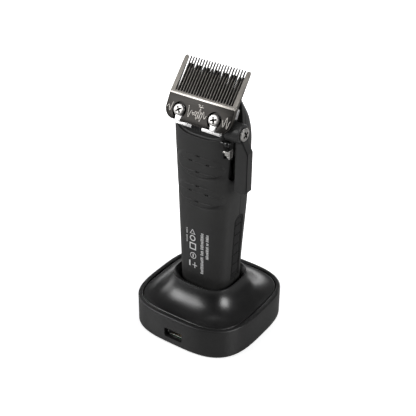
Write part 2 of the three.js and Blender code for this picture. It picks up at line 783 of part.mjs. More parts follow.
// chrome bracket behind the blade, with the lugs that the screws bite into
const bracketFace = -bladeThickness - gap;
const bracketHalf = half + bracketOverhang;
const armInner = bracketHalf - bracketArmWidth;
const bracket = cut(
  join(
    block([-bracketBar, -bracketBelow, bracketBack], [hubInner - 2 * gap, bracketTop, bracketFace]),
    block([-armInner - 1, hubClear, bracketBack], [armInner + 1, bracketTop, bracketFace]),
    ...sides.map(([, s]) => block(
      [Math.min(s * armInner, s * bracketHalf), hubClear, bracketBack],
      [Math.max(s * armInner, s * bracketHalf), bracketArmTop, bracketFace])),
    ...sides.map(([, s]) => block(
      [s * bladeScrewSpacing / 2 - lugHalf, -0.3, bracketFace - 0.5],
      [s * bladeScrewSpacing / 2 + lugHalf, bladeScrewV + lugHalf * 0.2, -lugSink])),
  ),
  block([-bracketNotch / 2, -bracketBelow - 1, bracketBack - 1], [bracketNotch / 2, -0.6, 1]),
  ...sides.map(([, s]) => rod('z', bladeScrewShank + screwPlay, bracketBack - 1, 1,
    [s * bladeScrewSpacing / 2, bladeScrewV], 14)),
  ...sides.map(([, s]) => rod('z', bracketScrewShank + screwPlay, bracketBack - 1, bracketFace - 0.6,
    [s * bracketScrewX, bracketScrewV], 12)),
);
add(clipper, 'head_bracket', onBlade(bracket), finish.chrome);

function crossHead(radius, low, high, centre) {
  const [x, y] = centre;
  const arm = radius * 0.62;
  const width = radius * 0.17;
  return cut(
    rod('z', radius, low, high, centre, 20),
    block([x - arm, y - width, high - 0.7], [x + arm, y + width, high + 1]),
    block([x - width, y - arm, high - 0.7], [x + width, y + arm, high + 1]),
  );
}
sides.forEach(([name, s]) => {
  const centre = [s * bladeScrewSpacing / 2, bladeScrewV];
  const screw = join(
    crossHead(bladeScrewHead, -lugSink + gap, -lugSink + gap + 1.7, centre),
    rod('z', bladeScrewShank, bracketBack + 0.1, -lugSink + gap + 0.1, centre, 14),
  );
  add(clipper, `blade_screw_${name}`, onBlade(screw), finish.chrome);
  const inner = [s * bracketScrewX, bracketScrewV];
  const hidden = join(
    rod('z', bracketScrewShank, bracketBack + 0.2, bracketFace - 0.6 - gap, inner, 12),
    rod('z', bracketScrewShank, bracketScrewTip - 0.1, bracketBack + 0.3, inner, 12),
    rod('z', bracketScrewHead, bracketScrewTip - 1.3, bracketScrewTip, inner, 14),
  );
  add(clipper, `bracket_screw_${name}`, onBlade(hidden), finish.steel);
});

// yoke behind the cutter: a block with two fingers beside the drive pin
const yokeFace = cutterFace - cutterThickness - gap;
const fingerInner = drivePin + 2 * crankThrow + gap + 0.2;
const fingerOuter = fingerInner + yokeWall;
const fingerLow = 141;
const carriageLow = hubClear + 0.1;
const carriageBar = 2;
const yokeOverCarriage = 1;
const yokeLow = carriageLow + carriageBar + yokeOverCarriage;
const yokeHigh = 20;
const yoke = join(
  onBlade(block([-fingerOuter, yokeLow, yokeFace - 3], [fingerOuter, yokeHigh, yokeFace])),
  block([-fingerOuter, motorY - 6, 154], [fingerOuter, motorY + 1, 159]),
  ...sides.map(([, s]) => block(
    [Math.min(s * fingerInner, s * fingerOuter), motorY - 4, fingerLow],
    [Math.max(s * fingerInner, s * fingerOuter), motorY + 3, 156])),
).subtract(onBlade(block([-reach, -reach, yokeFace], [reach, reach, reach])));
add(clipper, 'cutter_yoke', yoke, finish.nylon);

// carriage that the lever's crank pin lifts
const carriageFace = seatFace - 0.2;
const pinV = hubV + crankRadius * Math.cos(rad(crankAngle));
const pinW = hubW - crankRadius * Math.sin(rad(crankAngle));
const pinWOpen = hubW - crankRadius * Math.sin(rad(crankAngle - leverSwing));
const earInner = 12.1;
const earOuter = 13.2;
const carriageHalf = 14.4;
const slotPlay = 0.5;
const slotRim = 0.8;
const slotLow = pinV - crankPin - slotPlay;
const slotReach = pinWOpen + crankPin + slotPlay;
const earLow = pinW - 2.6;
const carriageTop = carriageLow + carriageBar;
const carriage = cut(
  join(
    block([-carriageHalf, carriageLow, carriageFace - 1], [carriageHalf, carriageTop, carriageFace]),
    ...sides.map(([, s]) => block(
      [Math.min(s * 11, s * carriageHalf), carriageLow, carriageFace - 1],
      [Math.max(s * 11, s * carriageHalf), carriageLow + 9, carriageFace])),
    block([earInner, carriageLow, earLow], [earOuter, carriageTop, carriageFace]),
    block([earInner, slotLow - slotRim, earLow], [earOuter, carriageTop, slotReach + slotRim]),
  ),
  block(
    [earInner - 1, slotLow, pinW - crankPin - slotPlay],
    [earOuter + 1, pinV + crankPin + slotPlay, slotReach],
  ),
);
add(clipper, 'taper_carriage', onBlade(carriage), finish.steel);

// ---- taper lever ----------------------------------------------------------
const arm = slab([
  [leverInner, leverFoot],
  [leverOuter - 1.6, leverFoot],
  [leverOuter, leverFoot + 2],
  [leverOuter, leverShoulder],
  [hubOuter, hubZ - hubRadius + 1.4],
  [hubOuter, hubZ],
  [leverInner, hubZ],
], -(hubY + leverBehind), leverAhead - hubY).transform(basis([1, 0, 0], [0, 0, 1], [0, -1, 0], [0, 0, 0]));
const boreRadius = shaftRadius + gap;
const boreEnd = hubOuter + 1;
const lever = cut(
  join(arm, rod('x', hubRadius, hubInner, hubOuter, [hubY, hubZ], 28)),
  rod('x', boreRadius, hubInner - 1, boreEnd, [hubY, hubZ], 20),
);
add(clipper, 'taper_lever', lever, finish.blackPlastic);
const shaftEnd = 22.6;
const crankY = bladeFootY + pinV * Math.sin(lean) - pinW * Math.cos(lean);
const crankZ = bladeFootZ + pinV * Math.cos(lean) + pinW * Math.sin(lean);
const toPin = [(crankY - hubY) / crankRadius, (crankZ - hubZ) / crankRadius];
const crankArm = block([0, 0, -shaftRadius + gap], [1, crankRadius + crankPin, shaftRadius - gap])
  .transform(basis([1, 0, 0], [0, ...toPin], [0, -toPin[1], toPin[0]], [earOuter + gap, hubY, hubZ]));
const shaft = join(
  rod('x', shaftRadius, earOuter + 2 * gap, shaftEnd, [hubY, hubZ], 20),
  crankArm,
  rod('x', crankPin, earInner - gap, earOuter + gap + 0.5, [crankY, crankZ], 10),
);
add(clipper, 'lever_shaft', shaft, finish.steel);
const leverScrew = crossHead(leverScrewHead, 0, 1.5, [0, 0])
  .add(rod('z', 1.6, -(hubOuter + gap - shaftEnd - gap), 0.2, [0, 0], 14))
  .transform(basis([0, 1, 0], [0, 0, 1], [1, 0, 0], [hubOuter + gap, hubY, hubZ]));
add(clipper, 'lever_screw', leverScrew, finish.chrome);

// rubber stop and chrome click spring in the notch
const stopX = notchWall + gap + stopRadius;
const stop = ball(stopRadius, stopX, stopY, stopZ)
  .add(rod('x', stopStem, notchWall - notchWallThickness - 0.6, stopX, [stopY, stopZ], 12));
add(clipper, 'lever_stop', stop, finish.rubber);
const click = join(
  block([notchWall + gap, clickY - 2.2, clickZ - 2], [notchWall + 3.6, clickY + 1, clickZ + 2]),
  block(
    [notchWall + 2.4, clickY - 2.2, clickZ - clickHeight / 2],
    [notchWall + 3.6, clickY + 1.6, clickZ + clickHeight / 2],
  ),
  rod('x', clickStem, notchWall - notchWallThickness - 0.6, notchWall + 1, [clickY, clickZ], 12),
);
add(clipper, 'click_spring', click, finish.chrome);

export default all;
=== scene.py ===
"""A cordless hair clipper standing upright in its charging dock, lit in a plain white studio."""
import math

import bmesh
import bpy
import numpy as np
from mathutils import Matrix, Vector


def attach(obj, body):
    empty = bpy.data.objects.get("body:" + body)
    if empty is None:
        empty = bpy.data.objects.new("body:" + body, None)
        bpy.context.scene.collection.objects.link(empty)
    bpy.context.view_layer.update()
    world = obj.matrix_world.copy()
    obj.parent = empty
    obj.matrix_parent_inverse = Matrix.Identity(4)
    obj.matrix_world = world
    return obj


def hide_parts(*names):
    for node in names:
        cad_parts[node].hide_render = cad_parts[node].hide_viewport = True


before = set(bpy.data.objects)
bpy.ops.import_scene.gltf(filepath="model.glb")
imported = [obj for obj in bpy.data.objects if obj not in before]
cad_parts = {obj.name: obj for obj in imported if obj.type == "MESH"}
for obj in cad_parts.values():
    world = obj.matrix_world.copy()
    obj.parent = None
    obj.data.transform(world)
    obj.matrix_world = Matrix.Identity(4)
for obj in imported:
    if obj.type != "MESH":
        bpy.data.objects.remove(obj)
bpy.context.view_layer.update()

# ---- Studio -----------------------------------------------------------------
# A white table top that runs out into a white surround, and one camera on a long lens.
# The key is a big soft box to the front left, with one more on each side, a long low
# panel behind and a small soft box overhead. The camera sees the surround as pure white,
# while the surround itself gives the pieces only a faint grey light.

MM = 0.001

camera_heading = math.radians(34.25)
camera_rise = math.radians(31.35)
camera_roll = math.radians(0.72)
camera_place = Vector((288.15, -426.51, 397.92)) * MM
camera_lens = 82.2

towards = Vector((math.sin(camera_heading) * math.cos(camera_rise),
                  -math.cos(camera_heading) * math.cos(camera_rise),
                  math.sin(camera_rise)))
level = Vector((math.cos(camera_heading), math.sin(camera_heading), 0))
upright = towards.cross(level)
across = level * math.cos(camera_roll) + upright * math.sin(camera_roll)
above = upright * math.cos(camera_roll) - level * math.sin(camera_roll)
camera = bpy.data.objects.new("camera", bpy.data.cameras.new("camera"))
camera.data.lens = camera_lens
camera.data.sensor_width = 36
camera_turn = Matrix((across, above, towards)).transposed()
camera.matrix_world = Matrix.Translation(camera_place) @ camera_turn.to_4x4()
bpy.context.scene.collection.objects.link(camera)
bpy.context.scene.camera = camera
bpy.context.scene.view_settings.view_transform = "Standard"


def softbox(name, place, aim, width, height, power):
    """A rectangular area light at place, turned to face aim."""
    light = bpy.data.lights.new(name, "AREA")
    light.shape = "RECTANGLE"
    light.size = width
    light.size_y = height
    light.energy = power
    lamp = bpy.data.objects.new(name, light)
    place = Vector(place)
    turn = (place - Vector(aim)).to_track_quat("Z", "Y").to_matrix()
    lamp.matrix_world = Matrix.Translation(place) @ turn.to_4x4()
    bpy.context.scene.collection.objects.link(lamp)
    return lamp


softbox("key_softbox", (-0.75, -0.85, 0.75), (0, 0, 0.08), 0.66, 0.66, 9.5)
softbox("left_softbox", (-1.05, -0.15, 0.30), (0, 0, 0.08), 0.6, 0.6, 2.4)
softbox("right_softbox", (1.0, -0.06, 0.64), (0, 0, 0.05), 0.60, 0.60, 9)
softbox("back_panel", (-0.35, 1.15, 0.24), (0, 0, 0.05), 1.7, 0.40, 5.5)
softbox("top_softbox", (-0.1, 0.15, 1.2), (0, 0, 0), 0.4, 0.4, 1.0)

surround_light = (0.045, 0.045, 0.047, 1)
world = bpy.data.worlds.new("studio")
bpy.context.scene.world = world
world.use_nodes = True
sky = world.node_tree.nodes
sky["Background"].inputs["Strength"].default_value = 1.0
seen = sky.new("ShaderNodeLightPath")
tone = sky.new("ShaderNodeMix")
tone.data_type = "RGBA"
tone.inputs["A"].default_value = surround_light
tone.inputs["B"].default_value = (1, 1, 1, 1)
world.node_tree.links.new(seen.outputs["Is Camera Ray"], tone.inputs["Factor"])
world.node_tree.links.new(tone.outputs["Result"], sky["Background"].inputs["Color"])

# the table is a mid grey that glows white towards the camera, a little less close to the dock
table_size = 6.0
table_tone = 0.50
table_seen = 0.9
table_glow = 0.62
glow_from, glow_to = 0.05, 0.16
bpy.ops.mesh.primitive_plane_add(size=table_size)
table = bpy.context.object
table.name = "table_top"
paper = bpy.data.materials.new("white_paper")
paper.use_nodes = True
paper_nodes = paper.node_tree.nodes
paper_shader = paper_nodes["Principled BSDF"]
paper_shader.inputs["Roughness"].default_value = 0.25
paper_seen = paper_nodes.new("ShaderNodeLightPath")
paper_tone = paper_nodes.new("ShaderNodeMix")
paper_tone.data_type = "RGBA"
paper_tone.inputs["A"].default_value = (table_tone, table_tone, table_tone, 1)
paper_tone.inputs["B"].default_value = (table_seen, table_seen, table_seen, 1)
paper_glow = paper_nodes.new("ShaderNodeMath")
paper_glow.operation = "MULTIPLY"
paper_far = paper_nodes.new("ShaderNodeVectorMath")
paper_far.operation = "LENGTH"
paper_range = paper_nodes.new("ShaderNodeMapRange")
paper_range.inputs["From Min"].default_value = glow_from
paper_range.inputs["From Max"].default_value = glow_to
paper_range.inputs["To Min"].default_value = table_glow
paper_range.inputs["To Max"].default_value = 1.0
paper.node_tree.links.new(paper_nodes.new("ShaderNodeTexCoord").outputs["Object"], paper_far.inputs[0])
paper.node_tree.links.new(paper_far.outputs["Value"], paper_range.inputs["Value"])
paper.node_tree.links.new(paper_range.outputs["Result"], paper_glow.inputs[1])
paper_shader.inputs["Emission Color"].default_value = (1, 1, 1, 1)
paper.node_tree.links.new(paper_seen.outputs["Is Camera Ray"], paper_tone.inputs["Factor"])
paper.node_tree.links.new(paper_tone.outputs["Result"], paper_shader.inputs["Base Color"])
paper.node_tree.links.new(paper_seen.outputs["Is Camera Ray"], paper_glow.inputs[0])
paper.node_tree.links.new(paper_glow.outputs["Value"], paper_shader.inputs["Emission Strength"])
table.data.materials.append(paper)

# ---- Dock tray --------------------------------------------------------------
# The lower half of the charging dock: a square-round moulded wall with its floor in
# one piece, satin black plastic with a fine spark-eroded grain. Four screws through
# the floor pull it up to the lid.

TURN = 2 * math.pi
dock_width = 83.5 * MM
dock_squareness = 3.3
inner_squareness = 3.6
dock_wall = 3.2 * MM
dock_rim = 22 * MM
floor_low = 0.8 * MM
floor_high = 3.0 * MM
usb_width = 13.8 * MM
usb_height = 6.7 * MM
usb_centre = 9 * MM
usb_corner = 1.3 * MM


def superellipse(angle, width, depth, squareness):
    """The point at each angle on |x / (width/2)|^n + |y / (depth/2)|^n = 1, found along the ray
    at that angle, so that points stay evenly spread round the outline."""
    c, s = np.cos(angle), np.sin(angle)
    reach = (np.abs(c * 2 / width) ** squareness + np.abs(s * 2 / depth) ** squareness) ** (-1 / squareness)
    return c * reach, s * reach


def grid_faces(rows, columns, closed_across=True, closed_along=False):
    """Quads between neighbouring rows and columns of a grid whose points are numbered row by row."""
    i = np.arange(rows if closed_along else rows - 1)[:, None]
    j = np.arange(columns if closed_across else columns - 1)[None, :]
    k, m = (i + 1) % rows, (j + 1) % columns
    return np.stack([i * columns + j, i * columns + m, k * columns + m, k * columns + j], -1).reshape(-1, 4)


def flat_ends(rows, columns):
    """The two end faces of a grid whose rows are closed outlines."""
    return [np.arange(columns)[::-1]], [(rows - 1) * columns + np.arange(columns)]


def pole_fans(rows, columns):
    """Triangles from a grid's first and last row to the two poles that are numbered after its points."""
    j = np.arange(columns)
    k = (j + 1) % columns
    pole = np.full(columns, rows * columns)
    top = (rows - 1) * columns
    return np.stack([pole, k, j], -1), np.stack([pole + 1, top + j, top + k], -1)


def mesh_piece(name, points, faces, smooth_angle=35):
    """A mesh object at the origin from an array of points and a list of arrays of faces."""
    mesh = bpy.data.meshes.new(name)
    corners = [list(map(int, face)) for block in faces for face in block]
    mesh.from_pydata(np.asarray(points, float).reshape(-1, 3).tolist(), [], corners)
    mesh.validate()
    mesh.update()
    piece = bpy.data.objects.new(name, mesh)
    bpy.context.scene.collection.objects.link(piece)
    soften(piece, smooth_angle)
    return piece


def soften(piece, degrees):
    """Smooth shading, with edges sharper than the angle kept crisp."""
    bpy.context.view_layer.objects.active = piece
    for other in bpy.context.selected_objects:
        other.select_set(False)
    piece.select_set(True)
    bpy.ops.object.shade_smooth_by_angle(angle=math.radians(degrees), keep_sharp_edges=False)
    piece.select_set(False)


def ring_stack(name, rings, steps=160, smooth_angle=35):
    """A closed solid of superellipse rings joined one to the next. Each ring is (width, depth,
    squareness, middle y, height). The first and last ring close on a pole at their own middle."""
    width, depth, squareness, middle, height = np.array(rings, float).T[..., None]
    angle = (np.arange(steps) + 0.5) * TURN / steps
    x, y = superellipse(angle[None, :], width, depth, squareness)
    z = np.broadcast_to(height, x.shape)
    points = np.stack([x, y + middle, z], -1).reshape(-1, 3)
    count = len(rings)
    poles = [[0, rings[0][3], rings[0][4]], [0, rings[-1][3], rings[-1][4]]]
    faces = [grid_faces(count, steps), *pole_fans(count, steps)]
    return mesh_piece(name, np.vstack([points, poles]), faces, smooth_angle)


def rounded(corner, radius, start, stop, steps=6):
    """Points of an arc about a corner's centre, from one angle to the other in degrees."""
    angle = np.radians(np.linspace(start, stop, steps + 1))
    return [(corner[0] + radius * math.cos(a), corner[1] + radius * math.sin(a)) for a in angle]


def prism(name, outline, low, high, edge=0.0, axes=None, smooth_angle=35, edge_steps=3):
    """A solid between two copies of an outline, its rims rounded by a quarter circle of radius edge.
    The outline runs anticlockwise; axes turns its own frame into the object's."""
    outline = np.array(outline, float)

    def inward(run):
        length = np.maximum(np.linalg.norm(run, axis=1), 1e-12)
        return np.stack([-run[:, 1], run[:, 0]], -1) / length[:, None]

    a = inward(outline - np.roll(outline, 1, 0))
    b = inward(np.roll(outline, -1, 0) - outline)
    mitre = (a + b) / np.maximum(1 + (a * b).sum(1), 0.35)[:, None]
    angle = np.linspace(0, math.pi / 2, edge_steps + 1) if edge else np.array([0.0])
    inset = edge * (1 - np.sin(angle))
    rise = edge * (1 - np.cos(angle))
    insets = np.concatenate([inset, inset[::-1]])
    heights = np.concatenate([low + rise, high - rise[::-1]])
    flat = outline[None] + mitre[None] * insets[:, None, None]
    heights = np.broadcast_to(heights[:, None, None], flat.shape[:2] + (1,))
    points = np.concatenate([flat, heights], -1)
    rows, columns = points.shape[:2]
    points = points.reshape(-1, 3)
    if axes is not None:
        points = points @ np.array(axes.to_3x3()).T + np.array(axes.translation)
    return mesh_piece(name, points, [grid_faces(rows, columns), *flat_ends(rows, columns)], smooth_angle)


def carve(piece, cutters, operation="DIFFERENCE"):
    """Cuts the cutters out of the piece, or joins them to it, and throws the cutters away."""
    for cutter in cutters:
        step = piece.modifiers.new("cut", "BOOLEAN")
        step.operation = operation
        step.solver = "EXACT"
        step.object = cutter
        bpy.context.view_layer.objects.active = piece
        bpy.ops.object.modifier_apply(modifier=step.name)
        bpy.data.objects.remove(cutter)
    return piece


def merge_pieces(name, parts):
    """One object made of several separate closed shells."""
    for other in bpy.context.selected_objects:
        other.select_set(False)
    for part in parts:
        part.select_set(True)
    bpy.context.view_layer.objects.active = parts[0]
    bpy.ops.object.join()
    joined = bpy.context.object
    joined.name = name
    joined.data.name = name
    joined.select_set(False)
    return joined


def new_group(name, inputs, outputs):
    """An empty shader node group with float, colour or vector sockets."""
    group = bpy.data.node_groups.new(name, "ShaderNodeTree")
    kinds = {"value": "NodeSocketFloat", "colour": "NodeSocketColor", "vector": "NodeSocketVector"}
    for socket, kind in inputs:
        group.interface.new_socket(socket, in_out="INPUT", socket_type=kinds[kind])
    for socket, kind in outputs:
        group.interface.new_socket(socket, in_out="OUTPUT", socket_type=kinds[kind])
    return group, group.nodes.new("NodeGroupInput"), group.nodes.new("NodeGroupOutput")


def feed(tree, socket, value):
    """Gives a socket a plain number or colour, or a link from another node."""
    if isinstance(value, (int, float)):
        socket.default_value = value
    elif isinstance(value, tuple):
        socket.default_value = (*value, 1)
    else:
        tree.links.new(value, socket)


def noise(tree, place, size, detail, sharp):
    """A noise texture read at place."""
    node = tree.nodes.new("ShaderNodeTexNoise")
    feed(tree, node.inputs["Detail"], detail)
    feed(tree, node.inputs["Roughness"], sharp)
    feed(tree, node.inputs["Scale"], size)
    feed(tree, node.inputs["Vector"], place)
    return node.outputs["Fac"]


def math_node(tree, operation, *values):
    """A math node whose inputs are links or plain numbers."""
    node = tree.nodes.new("ShaderNodeMath")
    node.operation = operation
    for socket, value in zip(node.inputs, values):
        feed(tree, socket, value)
    return node.outputs["Value"]


def ramp(tree, value, low, high, to_low=0.0, to_high=1.0):
    """Maps low..high smoothly to to_low..to_high, clamped."""
    node = tree.nodes.new("ShaderNodeMapRange")
    node.interpolation_type = "SMOOTHSTEP"
    feed(tree, node.inputs["From Min"], low)
    feed(tree, node.inputs["From Max"], high)
    feed(tree, node.inputs["To Min"], to_low)
    feed(tree, node.inputs["To Max"], to_high)
    feed(tree, node.inputs["Value"], value)
    return node.outputs["Result"]


def blend_colour(tree, factor, first, second):
    """Mixes two colours, each a link or a plain colour."""
    node = tree.nodes.new("ShaderNodeMix")
    node.data_type = "RGBA"
    feed(tree, node.inputs["Factor"], factor)
    feed(tree, node.inputs["A"], first)
    feed(tree, node.inputs["B"], second)
    return node.outputs["Result"]


# Moulded grain: the pebbled texture of a spark-eroded tool, with faint flow patches
# and small dust specks. It gives a colour, a height and a roughness at every place.
grain, grain_in, grain_out = new_group(
    "moulded_grain",
    [("Place", "vector"), ("Pebble", "value"), ("Dark", "colour"), ("Light", "colour"),
     ("Smooth", "value"), ("Rough", "value")],
    [("Colour", "colour"), ("Height", "value"), ("Roughness", "value")])
pebbles = noise(grain, grain_in.outputs["Place"], grain_in.outputs["Pebble"], 3.0, 0.55)
patches = noise(grain, grain_in.outputs["Place"], 55.0, 3.0, 0.5)
specks = ramp(grain, noise(grain, grain_in.outputs["Place"], 1900.0, 1.0, 0.4), 0.735, 0.79)
mottle = math_node(grain, "MULTIPLY_ADD", pebbles, 0.55, math_node(grain, "MULTIPLY", patches, 0.45))
grain.links.new(
    blend_colour(grain, math_node(grain, "MULTIPLY", specks, 0.35),
                 blend_colour(grain, ramp(grain, mottle, 0.36, 0.64), grain_in.outputs["Dark"],
                              grain_in.outputs["Light"]), (0.10, 0.10, 0.10)),
    grain_out.inputs["Colour"])
grain.links.new(pebbles, grain_out.inputs["Height"])
grain.links.new(ramp(grain, mottle, 0.38, 0.62, grain_in.outputs["Smooth"], grain_in.outputs["Rough"]),
                grain_out.inputs["Roughness"])


def grained(name, group, depth, shading, settings):
    """A material whose colour, roughness and relief come from a node group read in the object's own
    space: shading sets the shader's inputs, settings the group's, depth the relief in metres."""
    material = bpy.data.materials.new(name)
    material.use_nodes = True
    tree = material.node_tree
    shader = tree.nodes["Principled BSDF"]
    for socket, value in shading.items():
        shader.inputs[socket].default_value = value
    skin = tree.nodes.new("ShaderNodeGroup")
    skin.node_tree = group
    for socket, value in settings.items():
        skin.inputs[socket].default_value = value
    tree.links.new(tree.nodes.new("ShaderNodeTexCoord").outputs["Object"], skin.inputs["Place"])
    bump = tree.nodes.new("ShaderNodeBump")
    bump.inputs["Distance"].default_value = depth
    bump.inputs["Strength"].default_value = 1.0
    tree.links.new(skin.outputs["Height"], bump.inputs["Height"])
    tree.links.new(bump.outputs["Normal"], shader.inputs["Normal"])
    tree.links.new(skin.outputs["Colour"], shader.inputs["Base Color"])
    tree.links.new(skin.outputs["Roughness"], shader.inputs["Roughness"])
    return material


def plastic(name, dark, light, pebble, depth, smooth, rough, specular=0.5):
    """A moulded plastic: pebble is the grain's scale in 1/m, depth its height in metres."""
    return grained(name, grain, depth, {"Specular IOR Level": specular}, {
        "Pebble": pebble, "Dark": (*dark, 1), "Light": (*light, 1), "Smooth": smooth, "Rough": rough})


def finish_piece(piece, body, nodes, material):
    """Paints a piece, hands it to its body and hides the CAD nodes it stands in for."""
    piece.data.materials.clear()
    piece.data.materials.append(material)
    piece.data.update()
    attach(piece, body)
    if nodes:
        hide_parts(*nodes)


dock_black = plastic("dock_black", (0.010, 0.010, 0.010), (0.016, 0.016, 0.016),
                     1500.0, 0.00003, 0.30, 0.42)


def square_ring(size, height, squareness=dock_squareness):
    """A ring for ring_stack that is as deep as it is wide."""
    return size, size, squareness, 0.0, height


rim_round = 1.0 * MM
rim_inner_round = 0.4 * MM
foot_round = 1.2 * MM
inner_width = dock_width - 2 * dock_wall
outside = [square_ring(dock_width - 2 * (foot_round - foot_round * math.cos(a)),
                       floor_low + foot_round * (1 - math.sin(a)))
           for a in np.linspace(math.pi / 2, 0, 7)]
top_out = [square_ring(dock_width - 2 * rim_round * (1 - math.cos(a)),
                       dock_rim - rim_round * (1 - math.sin(a)))
           for a in np.linspace(0, math.pi / 2, 9)]
top_in = [square_ring(inner_width + 2 * rim_inner_round * (1 - math.sin(a)),
                      dock_rim - rim_inner_round * (1 - math.cos(a)), inner_squareness)
          for a in np.linspace(0, math.pi / 2, 4)]
tray = ring_stack("dock_tray_shell", [
    square_ring(0.4 * dock_width, floor_low), *outside,
    *[square_ring(dock_width, z * MM) for z in (5, 10, 15)], *top_out, *top_in,
    *[square_ring(inner_width, z * MM, inner_squareness) for z in (12, 3.4)],
    square_ring(inner_width - 0.8 * MM, floor_high, inner_squareness),
    square_ring(0.4 * inner_width, floor_high, inner_squareness)])


def rounded_box_outline(width, height, radius, middle=(0.0, 0.0), steps=6):
    """A rectangle's outline with four quarter-circle corners, anticlockwise."""
    x, y = width / 2 - radius, height / 2 - radius
    points = []
    for cx, cy, start in ((x, -y, -90), (x, y, 0), (-x, y, 90), (-x, -y, 180)):
        points += rounded((middle[0] + cx, middle[1] + cy), radius, start, start + 90, steps)
    return points


# turns an outline drawn in x and z so that it is carried along -y to +y
facing_front = Matrix(((1, 0, 0, 0), (0, 0, -1, 0), (0, 1, 0, 0), (0, 0, 0, 1)))
usb_cut = prism("usb_cut", rounded_box_outline(usb_width, usb_height, usb_corner, (0, usb_centre)),
                dock_width / 2 - dock_wall - 0.5 * MM, dock_width / 2 + 2 * MM, 0, facing_front)
foot_inset = 27 * MM
screw_inset = 20 * MM
pocket_high = 1.8 * MM
quarter = [(-1, -1, "front_left"), (1, -1, "front_right"), (-1, 1, "back_left"), (1, 1, "back_right")]


def circle(radius, middle=(0.0, 0.0), steps=48):
    """A circle's outline, anticlockwise."""
    angle = np.arange(steps) * TURN / steps
    return [(middle[0] + radius * math.cos(a), middle[1] + radius * math.sin(a)) for a in angle]


foot_cuts = [prism("foot_cut", circle(5.3 * MM, (sx * foot_inset, sy * foot_inset)), -MM, pocket_high)
             for sx, sy, name in quarter]
screw_cuts = [prism("screw_cut", circle(3.1 * MM, (sx * screw_inset, sy * screw_inset)), -MM, pocket_high)
              for sx, sy, name in quarter]
carve(tray, [usb_cut, merge_pieces("under_cuts", foot_cuts + screw_cuts)])
soften(tray, 35)
finish_piece(tray, "dock", ["dock_tray"], dock_black)

# ---- Dock lid ---------------------------------------------------------------
# The upper half: one moulding that starts flat inside the tray's rim, flares up to a
# crisp collar and turns over into the funnel and the well that hold the handle.
# It drops into the tray with a narrow shadow groove all round.

stations = np.array([            # handle outline: height, width, front, back
    [8, 34.8, -13.0, 15.0],
    [50, 37.4, -13.8, 16.0],
    [95, 41.9, -14.0, 18.1],
    [135, 45.6, -14.4, 17.8],
    [150, 45.4, -14.4, 13.9],
    [162, 43.4, -14.0, 6.2],
    [173, 39.0, -12.0, -1.0]]) * MM
handle_squareness = 3.2


def handle_at(height):
    """Width, front and back of the handle's outline at each height: a smooth cubic through the
    stations, whose slope at a station is that of the line between its two neighbours."""
    z = stations[:, 0]
    slopes = np.empty_like(stations[:, 1:])
    slopes[1:-1] = (stations[2:, 1:] - stations[:-2, 1:]) / (z[2:] - z[:-2])[:, None]
    slopes[0] = (stations[1, 1:] - stations[0, 1:]) / (z[1] - z[0])
    slopes[-1] = (stations[-1, 1:] - stations[-2, 1:]) / (z[-1] - z[-2])
    height = np.asarray(height, float)
    k = np.clip(np.searchsorted(z, height) - 1, 0, len(z) - 2)
    span = z[k + 1] - z[k]
    t = ((height - z[k]) / span)[..., None]
    span = span[..., None]
    a, b = stations[k, 1:], stations[k + 1, 1:]
    curve = ((2 * t ** 3 - 3 * t ** 2 + 1) * a + (t ** 3 - 2 * t ** 2 + t) * slopes[k] * span
             + (3 * t ** 2 - 2 * t ** 3) * b + (t ** 3 - t ** 2) * slopes[k + 1] * span)
    return curve[..., 0], curve[..., 1], curve[..., 2]


collar_width, collar_depth, collar_squareness = 44 * MM, 41.3 * MM, 3.1
collar_high = 36.5 * MM
well_top = 32 * MM
well_low = 7.7 * MM
well_play = 0.9 * MM
lid_groove = 0.7 * MM
lid_width = inner_width - 2 * lid_groove
lid_wall = 2.4 * MM
lid_skirt = 19 * MM
lid_round = 0.8 * MM
lid_start = dock_rim - 0.35 * MM
lid_squareness = 3.75
well_floor = well_low - 1.5 * MM


def flare(along, inset=0.0, sink=0.0):
    """A ring of the flare: 0 at the rim, 1 at the collar. The height follows a quarter ellipse, so
    the surface starts level and ends steep, and the outline eases from the rim's to the collar's."""
    steep = 0.965
    rise = (1 - math.sqrt(1 - (steep * along) ** 2)) / (1 - math.sqrt(1 - steep ** 2))
    width = lid_width - 2 * lid_round + (collar_width - lid_width + 2 * lid_round) * along - 2 * inset
    depth = lid_width - 2 * lid_round + (collar_depth - lid_width + 2 * lid_round) * along - 2 * inset
    return (width, depth, lid_squareness + (collar_squareness - lid_squareness) * along, 0.0,
            lid_start + (collar_high - lid_start) * rise - sink)


def well_ring(height, extra):
    """A ring of the well: the handle's outline at the well's mouth, drawn larger by extra all round."""
    width, front, back = handle_at(well_top)
    return (float(width) + 2 * extra, float(back - front) + 2 * extra, handle_squareness,
            float(front + back) / 2, height)


def collar_ring(less, height):
    """A ring of the collar, narrower by less."""
    return collar_width - less, collar_depth - less, collar_squareness, 0.0, height


def between(first, last, share):
    """A ring part of the way from one ring to another."""
    return tuple(a + (b - a) * share for a, b in zip(first, last))


def well_end(height, extra):
    """The small ring that closes the well's floor at this height."""
    return between(well_ring(height, extra), (0, 0, 2, 0, height), 0.6)[:3] + (0.001, height)


